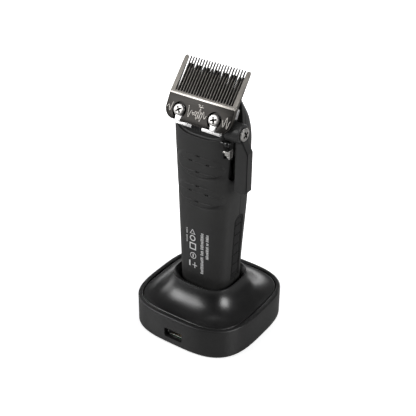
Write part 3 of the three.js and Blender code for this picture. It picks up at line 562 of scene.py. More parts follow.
well_mouth = well_ring(well_top, well_play)
funnel_edge = collar_ring(1.5 * MM, collar_high - 0.25 * MM)
lid_rings = [
    well_end(well_low, well_play),
    well_ring(well_low, well_play - 0.5 * MM), well_ring(well_low + 0.5 * MM, well_play),
    *[well_ring(z * MM, well_play) for z in (14, 20, 26, 30, 31.4)],
    *[between(well_mouth, funnel_edge, s) for s in (0.03, 0.1, 0.25, 0.5, 0.75, 0.92)],
    funnel_edge,
    collar_ring(1.0 * MM, collar_high), collar_ring(0.5 * MM, collar_high),
    collar_ring(0.1 * MM, collar_high - 0.15 * MM), collar_ring(0, collar_high - 0.5 * MM),
    *[flare(s, 0, 0.9 * MM * s ** 4) for s in np.linspace(0.985, 0, 40)],
    *[square_ring(lid_width - 2 * lid_round * (1 - math.sin(a)),
                  lid_start - lid_round * (1 - math.cos(a)), lid_squareness)
      for a in np.linspace(0.25, math.pi / 2, 5)],
    square_ring(lid_width, lid_skirt, lid_squareness),
    square_ring(lid_width - 2 * lid_wall, lid_skirt, lid_squareness),
    *[flare(s, lid_wall, lid_wall * 0.8) for s in np.linspace(0, 0.8, 10)],
    well_ring(27 * MM, well_play + 1.5 * MM), well_ring(well_floor, well_play + 1.5 * MM),
    well_end(well_floor, 0),
][::-1]
lid = ring_stack("dock_lid_shell", lid_rings, 192, 40)
pin_x = 6 * MM
pin_y = 1 * MM
pin_cuts = [prism("pin_cut", circle(1.5 * MM, (side * pin_x, pin_y), 24), 5 * MM, 9 * MM)
            for side in (-1, 1)]
carve(lid, [merge_pieces("pin_cuts", pin_cuts)])
soften(lid, 40)
lid_black = plastic("lid_black", (0.006, 0.006, 0.006), (0.010, 0.010, 0.010),
                    1700.0, 0.000006, 0.29, 0.36, 0.8)
finish_piece(lid, "dock", ["dock_lid"], lid_black)

# ---- Handle: front and rear housing -----------------------------------------
# Two moulded half shells of soft-touch black plastic that meet in a fine seam along
# the flanks. The front half has two shallow finger rests with raised grip lines, and
# ends under the blade in a curved lip with a ribbed throat behind it.

handle_low = 11.5 * MM
handle_high = 173 * MM
handle_wall = 2.6 * MM
seam_place = 1.5 * MM
seam_gap = 0.3 * MM
blade_lean = math.radians(29.1)
blade_foot = Vector((0, -18.2, 149.8)) * MM
blade_axes = Matrix.Translation(blade_foot) @ Matrix((
    (1, 0, 0),
    (0, math.sin(blade_lean), -math.cos(blade_lean)),
    (0, math.cos(blade_lean), math.sin(blade_lean)))).to_4x4()
seat_face = -5.2 * MM
lip_middle = 140.2 * MM
lip_side = 143.8 * MM
throat_depth = 1.9 * MM
hub_y, hub_z, hub_radius = -8.7 * MM, 148.4 * MM, 6 * MM
notch_wall = 16.6 * MM
notch_low = 130.5 * MM
notch_back = hub_y + hub_radius + 1.2 * MM
finger_rests = [(0.6 * MM, 122.6 * MM), (0.2 * MM, 101.6 * MM)]
rest_half_width, rest_half_height, rest_lift = 17.8 * MM, 8.6 * MM, 1.6 * MM


def handle_skin(angle, height):
    """Points of the handle's outer surface: the superellipse of each height's own width, front and
    back, taken at the given angles."""
    width, front, back = handle_at(height)
    x, y = superellipse(angle, width, back - front, handle_squareness)
    return x, y + (front + back) / 2


def lip_height(x):
    """Height of the lip under the blade: a shallow arc that rises to both sides."""
    return lip_middle + (lip_side - lip_middle) * np.clip(np.abs(x) / (17.5 * MM), 0, 1.15) ** 3


def rest_profile(x, z):
    """Height of the finger rests: an oval pad, flush above, that swells towards its lower edge and
    drops off steeply there into a shallow hollow."""
    lift = np.zeros_like(x)
    for middle_x, middle_z in finger_rests:
        u = (x - middle_x) / rest_half_width
        v = (z - middle_z) / rest_half_height
        inside = np.clip(1 - u ** 2 - v ** 2, 0, 1)
        lift += rest_lift * np.clip(0.5 - 0.55 * v, 0.0, 1) * np.clip(inside * 5, 0, 1) ** 0.8
        below = np.exp(-((np.hypot(u, v) - 1.10) / 0.10) ** 2) * np.clip(0.1 - 1.3 * v, 0, 1)
        lift -= 0.5 * MM * below
    return lift


def front_depth(x, z):
    """How far the front face is pressed in at each point: the throat over the lip, less the rests."""
    rise = np.clip((z - lip_height(x)) / (1.3 * MM), 0, 1)
    return throat_depth * np.sqrt(1 - (1 - rise) ** 2) - rest_profile(x, z)


def front_point(x, z):
    """The y of the handle's front face at each x and z, before it is pressed in."""
    width, front, back = handle_at(z)
    side = np.clip(np.abs(2 * x / width), 0, 0.999)
    reach = (1 - side ** handle_squareness) ** (1 / handle_squareness)
    return (front + back) / 2 - (back - front) / 2 * reach


def handle_shell(name, steps=224):
    """The whole handle as a solid. Rows bend so that one of them runs along the lip, columns crowd
    towards the front face, and the front face is pressed in by front_depth along y."""
    spread = (np.arange(steps) + 0.5) * TURN / steps
    angle = spread - 0.30 * np.cos(spread)
    rows = np.concatenate([
        np.arange(handle_low / MM, 90, 3.0), np.arange(90, 133.4, 0.45), np.arange(133.4, 139.6, 0.9),
        [139.95, 140.2, 140.35, 140.6, 140.9, 141.3, 142.0, 143.0], np.arange(144.5, 172, 1.5),
        [173.0]]) * MM
    z = np.broadcast_to(rows[:, None], (len(rows), steps)).copy()
    x, y = handle_skin(angle[None, :], rows[:, None])
    facing = np.clip((-(y - 2 * MM) / (9 * MM)), 0, 1)
    pull = np.exp(-((rows[:, None] - lip_middle) / (9 * MM)) ** 2) * facing
    z = z + (lip_height(x) - lip_middle) * pull
    x, y = handle_skin(np.broadcast_to(angle[None, :], z.shape), np.clip(z, rows[0], rows[-1]))
    face = np.clip((-(y + 5 * MM)) / (3 * MM), 0, 1)
    y = y + front_depth(x, z) * face
    points = np.stack([x, y, z], -1).reshape(-1, 3)
    count = len(rows)
    poles = [[0, 0, rows[0]], [0, -6 * MM, rows[-1]]]
    return mesh_piece(name, np.vstack([points, poles]),
                      [grid_faces(count, steps), *pole_fans(count, steps)])


def plain_handle(name, low, high, inset, rows=28, steps=96):
    """A plain solid with the handle's outline, inset on every side."""
    z = np.linspace(low, high, rows)
    width, front, back = handle_at(z)
    return ring_stack(name, [(w - 2 * inset, b - f - 2 * inset, handle_squareness, (f + b) / 2, h)
                             for w, f, b, h in zip(width, front, back, z)], steps)


def box_piece(name, low, high, axes=None):
    """A plain box, used to cut with."""
    (x0, y0, z0), (x1, y1, z1) = low, high
    return prism(name, [(x0, y0), (x1, y0), (x1, y1), (x0, y1)], z0, z1, 0, axes)


# turns an outline drawn in y and z so that it is carried along +x
facing_right = Matrix(((0, 0, 1, 0), (1, 0, 0, 0), (0, 1, 0, 0), (0, 0, 0, 1)))
FAR = 90 * MM
ABOVE = 2 * FAR + 20 * MM
grip_low, grip_high, grip_width = 38 * MM, 86 * MM, 9.5 * MM
grip_sink, grip_thickness = 0.3 * MM, 1.0 * MM


def grip_outline(margin):
    """The ladder grip's outline on the flank: straight below, half round above."""
    half = grip_width / 2 + margin
    return ([(seam_place - half, grip_low - margin), (seam_place + half, grip_low - margin)]
            + rounded((seam_place, grip_high - grip_width / 2), half, 0, 180, 16))


def grip_belt(name, margin, sink):
    """The part of the handle's skin inside the grip's outline, on both flanks."""
    belt = plain_handle(name, grip_low - 3 * MM, grip_high + 3 * MM, sink, 20, 128)
    return carve(belt, [prism("window", grip_outline(margin), -FAR, FAR, 0, facing_right)], "INTERSECT")


def duplicate(piece):
    """A second copy of a piece, with a mesh of its own."""
    twin = piece.copy()
    twin.data = piece.data.copy()
    bpy.context.scene.collection.objects.link(twin)
    return twin


pocket = grip_belt("pocket", 0.3 * MM, -1 * MM)
core_inset = grip_sink + grip_thickness
carve(pocket, [plain_handle("core", grip_low - 4 * MM, grip_high + 4 * MM, core_inset + 0.3 * MM)])
slot_outline = (rounded((-7.3 * MM, 116.9 * MM), 2.5 * MM, 180, 360, 10)
                + [(-4.8 * MM, 131 * MM), (-9.8 * MM, 131 * MM)])
hollow = plain_handle("hollow", handle_low - 1 * MM, handle_high + 1 * MM, handle_wall, 40, 96)
head_plane = box_piece("head_plane", (-FAR, -40 * MM, seat_face), (FAR, FAR, FAR), blade_axes)
notch_outline = ([(-30 * MM, notch_low)]
                 + rounded((notch_back - 2 * MM, notch_low + 2 * MM), 2 * MM, -90, 0, 6)
                 + [(notch_back, handle_high + 5 * MM), (-30 * MM, handle_high + 5 * MM)])
notch = prism("notch", notch_outline, notch_wall, FAR, 0, facing_right)
slot = prism("slot", slot_outline, 18.4 * MM, FAR, 0, facing_right)
lining_outline = ([(-30 * MM, notch_low - 1.4 * MM)]
                  + rounded((notch_back - 0.6 * MM, notch_low + 0.6 * MM), 2 * MM, -90, 0, 6)
                  + [(notch_back + 1.4 * MM, handle_high - 1 * MM), (-30 * MM, handle_high - 1 * MM)])
lining = prism("lining", lining_outline, notch_wall - 1.4 * MM, FAR, 0, facing_right)
carve(lining, [plain_handle("inside", 120 * MM, handle_high, 0.4 * MM, 40, 96)], "INTERSECT")

handle_solid = handle_shell("front_housing_shell")
carve(handle_solid, [hollow])
carve(handle_solid, [lining], "UNION")
carve(handle_solid, [notch, slot, pocket, head_plane])
soften(handle_solid, 30)
rear_solid = duplicate(handle_solid)
rear_solid.name = "rear_housing_shell"
carve(handle_solid, [box_piece("rear_half", (-FAR, seam_place - seam_gap / 2, 0), (FAR, FAR, ABOVE))])
button_z, button_radius = 104 * MM, 7 * MM
lens_z, lens_width, lens_height = 84 * MM, 9 * MM, 2.4 * MM
# turns an outline drawn in x and z so that it is carried along +y
facing_back = Matrix(((-1, 0, 0, 0), (0, 0, 1, 0), (0, 1, 0, 0), (0, 0, 0, 1)))
carve(rear_solid, [
    box_piece("front_half", (-FAR, -FAR, 0), (FAR, seam_place + seam_gap / 2, ABOVE)),
    prism("button_hole", circle(button_radius + 0.3 * MM, (0, button_z)), 4 * MM, 40 * MM, 0, facing_back),
    prism("lens_hole",
          rounded_box_outline(lens_width + 0.6 * MM, lens_height + 0.6 * MM, 1.4 * MM, (0, lens_z)),
          4 * MM, 40 * MM, 0, facing_back)])
soften(rear_solid, 30)

# the two tongues that stand inside the seam, one in each flank, and close it to the light
tongue_z = np.linspace(grip_high + 1.5 * MM, 157 * MM, 30)
tongue_width, tongue_front, tongue_back = handle_at(tongue_z)
tongue_off = np.abs(2 * seam_place - tongue_front - tongue_back) / (tongue_back - tongue_front)
tongue_x = tongue_width / 2 * (1 - tongue_off ** handle_squareness) ** (1 / handle_squareness)
tongues = []
for side in (-1, 1):
    corners = [(tongue_x - sink, seam_place + side * lean) for sink, lean in
               ((2.2 * MM, -1.2 * MM), (0.8 * MM, -1.2 * MM), (0.8 * MM, 1.2 * MM), (2.2 * MM, 1.2 * MM))]
    ribbon = np.stack([np.stack([side * x, np.full_like(x, y), tongue_z], -1) for x, y in corners], 1)
    rows, sides = ribbon.shape[:2]
    tongues.append(mesh_piece("tongue", ribbon, [grid_faces(rows, sides), *flat_ends(rows, sides)], 30))
tongue = merge_pieces("seam_tongue", tongues)


def sweep(name, path, outward, half_width, height, sides=7):
    """A bead carried along a path: at each point an ellipse of the given half width across and of the
    given height along the direction outward. Its ends taper to a point."""
    path = np.asarray(path, float)
    along = np.gradient(path, axis=0)
    along /= np.linalg.norm(along, axis=1)[:, None]
    outward = np.broadcast_to(np.asarray(outward, float), path.shape)
    side = np.cross(along, outward)
    side /= np.linalg.norm(side, axis=1)[:, None]
    out = np.cross(side, along)
    angle = np.arange(sides) * TURN / sides
    taper = np.ones(len(path))
    taper[0] = taper[-1] = 0.45
    ring = (side[:, None] * (np.cos(angle) * half_width)[None, :, None]
            + out[:, None] * (np.sin(angle) * height)[None, :, None]) * taper[:, None, None]
    points = path[:, None] + ring
    rows = len(path)
    return mesh_piece(name, np.vstack([points.reshape(-1, 3), path[:1], path[-1:]]),
                      [grid_faces(rows, sides), *pole_fans(rows, sides)], 60)


def on_front(x, z, lift=0.0):
    """Points on the pressed front face, lifted forwards."""
    x, z = np.broadcast_arrays(np.asarray(x, float), np.asarray(z, float))
    y = front_point(x, z) + front_depth(x, z) - lift
    return np.stack([x, y, z], -1)


grip_lines = []
pit_places = []
line_plan = [                     # height over the rest's middle, from, to, places of the pits
    (5.2, -10.6, 12.0, (0.44,)),
    (1.2, -14.4, 17.0, (0.27, 0.66)),
    (-5.2, -9.4, 12.0, (0.42,))]
for middle_x, middle_z in finger_rests:
    for rise, start, stop, pits in line_plan:
        cuts = [0.0, *pits, 1.0]
        length = stop - start
        for first, last in zip(cuts[:-1], cuts[1:]):
            a = start + first * length + (1.5 if first > 0 else 0)
            b = start + last * length - (1.5 if last < 1 else 0)
            x = np.linspace(a, b, 12) * MM + middle_x
            bow = rise * MM * (1 - 0.16 * (x / (17 * MM)) ** 2)
            grip_lines.append(sweep("line", on_front(x, middle_z + bow), (0, -1, 0), 0.38 * MM, 0.34 * MM))
        for share in pits:
            for off in (-0.62, 0.62):
                pit_places.append((middle_x + (start + share * length + off) * MM, middle_z + rise * MM))
pits = [prism("pit", circle(0.55 * MM, (x, z), 12), 10 * MM, 16 * MM, 0, facing_front)
        for x, z in pit_places]
pit_floor = 1.0 * MM
for pit, (x, z) in zip(pits, pit_places):
    floor = float(on_front([x], [z])[0, 1])
    edit = np.array([v.co[:] for v in pit.data.vertices])
    edit[:, 1] = np.where(edit[:, 1] > -12 * MM, floor + pit_floor, floor - 2 * MM)
    pit.data.vertices.foreach_set("co", edit.ravel())
    pit.data.update()
carve(handle_solid, [merge_pieces("pits", pits)])
soften(handle_solid, 30)

lip_x = np.linspace(-17.0, 17.0, 41) * MM
lip_z = lip_height(lip_x) - 0.05 * MM
lip_bead = sweep("lip", np.stack([lip_x, front_point(lip_x, lip_z) + 0.12 * MM, lip_z], -1), (0, -1, 0),
                 0.30 * MM, 0.26 * MM)
throat_ribs = []
for rib_x in np.arange(-15.6, 15.7, 1.2) * MM:
    low_z = lip_height(np.array([rib_x]))[0] + 1.0 * MM
    rib_z = np.linspace(low_z, 146.4 * MM, 5)
    place = np.stack([np.full(5, rib_x), front_point(np.full(5, rib_x), rib_z) + throat_depth, rib_z], -1)
    throat_ribs.append(sweep("rib", place, (0, -1, 0), 0.26 * MM, 0.30 * MM, 6))
throat = merge_pieces("front_housing_lines", [lip_bead, *grip_lines, *throat_ribs])

handle_black = plastic("handle_black", (0.020, 0.020, 0.0195), (0.029, 0.029, 0.0285),
                       2100.0, 0.00002, 0.44, 0.56)
finish_piece(handle_solid, "clipper", ["front_housing"], handle_black)
finish_piece(rear_solid, "clipper", ["rear_housing"], handle_black)
finish_piece(tongue, "clipper", [], handle_black)
finish_piece(throat, "clipper", [], handle_black)

# ---- Side grips ---------------------------------------------------------------
# Two strips of soft rubber set into pockets along the flanks: a raised frame round
# a ladder of flat pads with fine cross grooves between them. Bonded in place.

rung_heights = np.arange(41.3, 83, 7.5) * MM
grip_cut_depth = 0.55 * MM
grips = grip_belt("grips", 0, grip_sink)
carve(grips, [plain_handle("core", grip_low - 4 * MM, grip_high + 4 * MM, core_inset)])
panel_half = 3.4 * MM
panel_top = grip_high - grip_width / 2 - 0.6 * MM


def panel_outline(margin, foot):
    """The outline of the grip's panel, larger by margin: flat at height foot, half round above."""
    half = panel_half + margin
    return ([(seam_place - half, foot), (seam_place + half, foot)]
            + rounded((seam_place, panel_top), half, 0, 180, 14))


grooves = [box_piece("groove", (-FAR, seam_place - panel_half, z - 0.3 * MM),
                     (FAR, seam_place + panel_half, z + 0.3 * MM))
           for z in rung_heights]
frame_out = panel_outline(0.25 * MM, grip_low + 0.9 * MM)
frame_in = panel_outline(-0.2 * MM, grip_low + 1.4 * MM)
frame_groove = prism("frame_groove", frame_out, -FAR, FAR, 0, facing_right)
carve(frame_groove, [prism("inside", frame_in, -2 * FAR, 2 * FAR, 0, facing_right)])
shallow = plain_handle("shallow", grip_low - 4 * MM, grip_high + 4 * MM, grip_sink + grip_cut_depth)
groove_set = merge_pieces("groove_set", grooves)
second_core = duplicate(shallow)
carve(groove_set, [shallow])
carve(frame_groove, [second_core])
carve(grips, [groove_set, frame_groove])
right_grip = duplicate(grips)
carve(right_grip, [box_piece("half", (-FAR, -FAR, 0), (0, FAR, 2 * FAR))])
carve(grips, [box_piece("half", (0, -FAR, 0), (FAR, FAR, 2 * FAR))])
rubber_black = plastic("rubber_black", (0.009, 0.009, 0.009), (0.015, 0.015, 0.015),
                       2600.0, 0.00004, 0.62, 0.78, 0.35)
for piece, side in ((grips, "left"), (right_grip, "right")):
    soften(piece, 30)
    piece.name = "side_grip_" + side + "_pad"
    finish_piece(piece, "clipper", ["side_grip_" + side], rubber_black)

# ---- Fixed blade ----------------------------------------------------------------
# A ground steel plate with twenty-one fine teeth between two blunt guards. The comb leans
# back a little from the plate. The face has a dark coating that is ground bright along
# the strip below the teeth, and a fine wave line is engraved at the height of the screws.

blade_half, blade_thick, blade_tip, blade_root = 23.3 * MM, 2.6 * MM, 36.1 * MM, 17.1 * MM
blade_corner, guard_width = 7 * MM, 2.9 * MM
tooth_count, tooth_pitch, tooth_half = 21, 1.9 * MM, 0.50 * MM
strip_low, strip_high = 14.9 * MM, 16.1 * MM
screw_x, screw_v, screw_shift = 12.4 * MM, 6.3 * MM, -0.9 * MM
lug_half, recess_radius, recess_depth = 3.1 * MM, 4.9 * MM, 1.3 * MM
tip_face = -2.1 * MM
strip_drop = 0.32 * MM


def tooth_face(v):
    """Height of the ground face over the teeth: a straight slope from the strip to the tips."""
    return -strip_drop + (tip_face + strip_drop) * (v - strip_high) / (blade_tip - strip_high)


tooth_x = (np.arange(tooth_count) - (tooth_count - 1) / 2) * tooth_pitch
tooth_edges = np.repeat(tooth_x, 2) + np.tile([-1, 1], tooth_count) * tooth_half
gap_edges = np.concatenate([[-blade_half + guard_width], tooth_edges,
                            [blade_half - guard_width]]).reshape(-1, 2)
top_edge = []
for left, right in gap_edges:
    top_edge += rounded(((left + right) / 2, blade_root), (right - left) / 2, 180, 360, 6)
guard_round = guard_width / 2
left_guard = rounded((-blade_half + guard_round, blade_tip - guard_round), guard_round, 180, 0, 8)
right_guard = rounded((blade_half - guard_round, blade_tip - guard_round), guard_round, 180, 0, 8)
plate_outline = (rounded((-blade_half + blade_corner, blade_corner), blade_corner, 180, 270, 10)
                 + rounded((blade_half - blade_corner, blade_corner), blade_corner, 270, 360, 10)
                 + right_guard[::-1] + top_edge[::-1] + left_guard[::-1])
plate = prism("fixed_blade_plate", plate_outline, -blade_thick, 0, 0.22 * MM, None, 30, 2)
face_profile = [(-5 * MM, -3.4 * MM), (40 * MM, -3.4 * MM), (40 * MM, float(tooth_face(40 * MM))),
                (strip_high, -strip_drop), (strip_low, 0),
                (strip_low - 2 * MM, strip_drop * 2 * MM / (strip_high - strip_low)), (-5 * MM, 0.54 * MM)]
# turns an outline drawn in v and w so that it is carried along x
along_x = Matrix(((0, 0, 1, 0), (1, 0, 0, 0), (0, 1, 0, 0), (0, 0, 0, 1)))
carve(plate, [prism("face_profile", face_profile, -30 * MM, 30 * MM, 0, along_x)], "INTERSECT")
screw_places = [side * screw_x + screw_shift for side in (-1, 1)]
lug_slots = []
for x in screw_places:
    slot_half = lug_half + 0.3 * MM
    lug_slots.append(prism("lug_slot", [(x - slot_half, -2 * MM), (x + slot_half, -2 * MM)]
                           + rounded((x, screw_v), slot_half, 0, 180, 16), -4 * MM, 2 * MM))
recesses = [prism("recess", circle(recess_radius, (x, screw_v), 56), -recess_depth, 2 * MM)
            for x in screw_places]
carve(plate, [merge_pieces("slots", lug_slots), merge_pieces("recesses", recesses)])


def tooth(x):
    """One tooth: a six-sided section, flat behind and narrow in front, drawn along v from inside the
    plate to the tip. Its width hardly eases to the tip and its face follows tooth_face."""
    v = np.array([16.4, 18.0, 22, 26, 30, 33, 35, 35.8, 36.1]) * MM
    share = np.clip((v - blade_root) / (blade_tip - blade_root), 0, 1)
    half = tooth_half * (1 - 0.04 * share)
    half[-2:] *= (0.8, 0.45)
    face = tooth_face(v) - np.array([0] * 7 + [0.03, 0.15]) * MM
    back = np.full_like(v, -blade_thick + 0.02 * MM)
    crest = half * 0.30
    shoulder = np.minimum(0.55 * MM, (face - back) * 0.6)
    across = np.stack([-half, half, half, crest, -crest, -half], -1)
    out = np.stack([back, back, face - shoulder, face, face, face - shoulder], -1)
    ring = np.stack([x + across, np.broadcast_to(v[:, None], across.shape), out], -1)
    rows, sides = ring.shape[:2]
    ends = [[np.arange(sides)], [(rows - 1) * sides + np.arange(sides)[::-1]]]
    return mesh_piece("tooth", ring, [grid_faces(rows, sides)[:, ::-1], *ends], 30)


plate = merge_pieces("fixed_blade_plate", [plate, *[tooth(x) for x in tooth_x]])
comb_lean, comb_stretch = math.radians(7.8), 1.155


def get_places(mesh):
    """The places of a mesh's vertices, one row each."""
    places = np.empty(len(mesh.vertices) * 3)
    mesh.vertices.foreach_get("co", places)
    return places.reshape(-1, 3)


def set_places(mesh, places):
    """Moves a mesh's vertices to these places."""
    mesh.vertices.foreach_set("co", places.ravel())
    mesh.update()


def face_data(mesh):
    """The centre and the normal of each face of a mesh, one row each."""
    centres = np.empty(len(mesh.polygons) * 3)
    normals = np.empty(len(mesh.polygons) * 3)
    mesh.polygons.foreach_get("center", centres)
    mesh.polygons.foreach_get("normal", normals)
    return centres.reshape(-1, 3), normals.reshape(-1, 3)


def lean_comb(piece):
    """Leans the comb back: the mesh is split along the top of the strip, and what lies above it is
    drawn out a little and turned back about that line, seen from the side."""
    work = bmesh.new()
    work.from_mesh(piece.data)
    for height in (strip_high, strip_high + 1.5 * MM):
        bmesh.ops.bisect_plane(work, geom=work.verts[:] + work.edges[:] + work.faces[:], dist=1e-7,
                               plane_co=(0, height, 0), plane_no=(0, 1, 0))
    work.to_mesh(piece.data)
    work.free()
    x, v, w = get_places(piece.data).T
    past = np.maximum(v - strip_high, 0)
    v = np.minimum(v, strip_high) + past * comb_stretch * math.cos(comb_lean)
    set_places(piece.data, np.stack([x, v, w - past * comb_stretch * math.sin(comb_lean)], -1))
    return piece


def on_blade(piece):
    """Moves a mesh drawn in x, v and w to the blade's place on the handle."""
    piece.data.transform(blade_axes)
    piece.data.update()
    return piece


# Ground metal: fine parallel lines along one direction, with wider faint bands and
# smudges. Along and Across are the two directions in the surface.
ground, ground_in, ground_out = new_group(
    "ground_metal",
    [("Place", "vector"), ("Along", "vector"), ("Across", "vector"), ("Fineness", "value"),
     ("Dark", "colour"), ("Light", "colour"), ("Smooth", "value"), ("Rough", "value")],
    [("Colour", "colour"), ("Height", "value"), ("Roughness", "value")])


def dot(tree, first, second):
    """The dot product of two vector links."""
    node = tree.nodes.new("ShaderNodeVectorMath")
    node.operation = "DOT_PRODUCT"
    tree.links.new(first, node.inputs[0])
    tree.links.new(second, node.inputs[1])
    return node.outputs["Value"]


lengthways = math_node(
    ground, "MULTIPLY", dot(ground, ground_in.outputs["Place"], ground_in.outputs["Along"]), 60.0)
sideways = math_node(
    ground, "MULTIPLY", dot(ground, ground_in.outputs["Place"], ground_in.outputs["Across"]),
    ground_in.outputs["Fineness"])
stretched = ground.nodes.new("ShaderNodeCombineXYZ")
ground.links.new(lengthways, stretched.inputs["X"])
ground.links.new(sideways, stretched.inputs["Y"])
lines = noise(ground, stretched.outputs["Vector"], 1.0, 3.0, 0.6)
bands = noise(ground, stretched.outputs["Vector"], 0.16, 2.0, 0.5)
smudge = noise(ground, ground_in.outputs["Place"], 160.0, 3.0, 0.5)
faint_mix = math_node(ground, "MULTIPLY_ADD", bands, 0.25, math_node(ground, "MULTIPLY", smudge, 0.25))
ground_mix = math_node(ground, "MULTIPLY_ADD", lines, 0.5, faint_mix)
ground.links.new(blend_colour(ground, ramp(ground, ground_mix, 0.36, 0.64), ground_in.outputs["Dark"],
                              ground_in.outputs["Light"]), ground_out.inputs["Colour"])
ground.links.new(lines, ground_out.inputs["Height"])
ground.links.new(
    ramp(ground, ground_mix, 0.36, 0.64, ground_in.outputs["Smooth"], ground_in.outputs["Rough"]),
    ground_out.inputs["Roughness"])


def metal(name, dark, light, along, across, fineness, depth, smooth, rough, metallic=1.0):
    """A ground metal: fineness is the number of lines per metre, depth their height in metres."""
    return grained(name, ground, depth, {"Metallic": metallic}, {
        "Along": along, "Across": across, "Fineness": fineness, "Dark": (*dark, 1),
        "Light": (*light, 1), "Smooth": smooth, "Rough": rough})


up_blade = (0.0, math.sin(blade_lean), math.cos(blade_lean))
diagonal = (0.5, 0.866 * up_blade[1], 0.866 * up_blade[2])
counter = (0.866, -0.5 * up_blade[1], -0.5 * up_blade[2])
coated = metal("coated_blade_face", (0.024, 0.0225, 0.021), (0.036, 0.034, 0.032),
               (1, 0, 0), up_blade, 2600.0, 0.000004, 0.34, 0.46)
bare = metal("bare_ground_steel", (0.10, 0.094, 0.086), (0.20, 0.188, 0.172),
             diagonal, counter, 1500.0, 0.000010, 0.30, 0.46)
polished = metal("polished_strip", (0.27, 0.255, 0.235), (0.40, 0.38, 0.355),
                 (1, 0, 0), up_blade, 3200.0, 0.000003, 0.22, 0.32)
# the darkest metal: used on the blade's back and down in the screw recesses, and as painted shade on the
# sides and tips of the teeth
shade_and_dark_metal = metal("tooth_shade_and_dark_metal", (0.012, 0.011, 0.010), (0.022, 0.020, 0.018),
                  (1, 0, 0), up_blade, 2400.0, 0.000004, 0.38, 0.5, 0.7)
engraved = metal("engraved_line", (0.34, 0.32, 0.30), (0.48, 0.46, 0.43),
                 (1, 0, 0), up_blade, 3000.0, 0.000002, 0.3, 0.4)

lean_comb(plate)
centres, normals = face_data(plate.data)
x, v, w = centres.T
facing = normals[:, 2]
# faces take the coated, bare, polished or darkest finish by where they lie and how they turn; the darkest
# one also paints shade on the sides and tips of the teeth
COATED, BARE, POLISHED, SHADE_AND_DARK = range(4)
in_recess = np.hypot(np.abs(x - screw_shift) - screw_x, v - screw_v) < recess_radius + 0.05 * MM
on_strip = np.abs(v - (strip_low + strip_high) / 2) < (strip_high - strip_low) / 2
over_strip = np.abs(v - strip_high - 0.8 * MM) < 0.8 * MM
on_guards = np.abs(x) > blade_half - guard_width
on_comb = (np.abs(x) < blade_half - guard_width - 0.1 * MM) & (v > strip_high + 0.4 * MM)
choice = np.full(len(facing), BARE)
choice[(facing > 0.97) & (v < strip_low)] = COATED
choice[(facing > 0.8) & on_strip] = POLISHED
choice[in_recess & (w < -0.05 * MM)] = SHADE_AND_DARK
choice[(facing > 0.8) & over_strip & on_guards] = POLISHED
# painted shade: the teeth's sides and tips take the darkest material
choice[on_comb & ((facing < 0.9) | (v > 31.5 * MM))] = SHADE_AND_DARK
choice[facing < -0.5] = SHADE_AND_DARK
for material in (coated, bare, polished, shade_and_dark_metal):
    plate.data.materials.append(material)
plate.data.polygons.foreach_set("material_index", choice.astype(np.int32))
soften(on_blade(plate), 30)
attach(plate, "clipper")
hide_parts("fixed_blade")

wave_parts = []
wave_plan = [(-22.3, -18.4, 0.0, 3.4), (-7.8, 6.0, 0.0, 4.0), (-4.2, 3.2, 1.3, 2.0), (16.8, 22.0, 0.4, 3.4)]
for start, stop, phase, tall in wave_plan:
    wx = np.arange(start, stop, 0.14)
    wv = 6.6 + tall * np.sin(TURN * (wx + phase) / 2.75) * (0.62 + 0.38 * np.sin(TURN * wx / 9.4 + 0.8))
    wave = np.stack([wx, wv, np.full_like(wx, 0.01)], -1) * MM
    wave_parts.append(sweep("wave", wave, (0, 0, 1), 0.14 * MM, 0.035 * MM, 6))
for first, last, height in ((-1.6, 0.2, 12.3), (0.9, 1.7, 12.3), (-0.9, 2.6, 11.3)):
    bar = np.stack([np.linspace(first, last, 4), np.full(4, height), np.full(4, 0.01)], -1) * MM
    wave_parts.append(sweep("bar", bar, (0, 0, 1), 0.2 * MM, 0.035 * MM, 6))
engraving = on_blade(merge_pieces("fixed_blade_engraving", wave_parts))
finish_piece(engraving, "clipper", [], engraved)

# ---- Moving blade ---------------------------------------------------------------
# The black cutter that slides behind the fixed blade: a thin plate with coarser teeth
# whose tips end short of the fixed blade's. It leans back with the comb.

cutter_low, cutter_root, cutter_tip = 11.8 * MM, 23.5 * MM, 32.4 * MM
cutter_half, cutter_thick, cutter_teeth = 20.4 * MM, 1.2 * MM, 15
cutter_face = -blade_thick - 0.6 * MM
cutter_pitch = (2 * cutter_half - 2.2 * MM) / (cutter_teeth - 1)
cutter_outline = [(-cutter_half, cutter_low), (cutter_half, cutter_low)]
for middle in ((np.arange(cutter_teeth) - (cutter_teeth - 1) / 2) * cutter_pitch)[::-1]:
    cutter_outline += [(middle + 1.1 * MM, cutter_root), (middle + 1.05 * MM, cutter_tip - 2.4 * MM)]
    cutter_outline += rounded((middle, cutter_tip - 0.75 * MM), 0.75 * MM, 20, 160, 5)
    cutter_outline += [(middle - 1.05 * MM, cutter_tip - 2.4 * MM), (middle - 1.1 * MM, cutter_root)]
cutter = prism("moving_blade_plate", cutter_outline, cutter_face - cutter_thick, cutter_face,
               0.12 * MM, None, 30, 2)
cutter_black = metal("cutter_black", (0.008, 0.008, 0.008), (0.016, 0.015, 0.014),
                     (1, 0, 0), up_blade, 2200.0, 0.000004, 0.30, 0.45, 0.6)
finish_piece(on_blade(lean_comb(cutter)), "cutter", ["moving_blade"], cutter_black)

# ---- Head bracket -----------------------------------------------------------------
# The polished clamp plate under the blade. Two bars show below the blade's edge with a
# notch between them, a lug stands up in each screw recess, and a narrow arm shows at
# each end. Two hidden screws hold it to the front housing.

bracket_face = -blade_thick - 0.3 * MM
bracket_back = bracket_face - 2 * MM
bracket_parts = []


def strip(x0, x1, v0, v1, low, high, corner, edge):
    """A rounded bar in the blade's frame."""
    outline = rounded_box_outline(x1 - x0, v1 - v0, corner, ((x0 + x1) / 2, (v0 + v1) / 2), 5)
    bracket_parts.append(prism("bar", outline, low, high, edge, None, 30, 3))


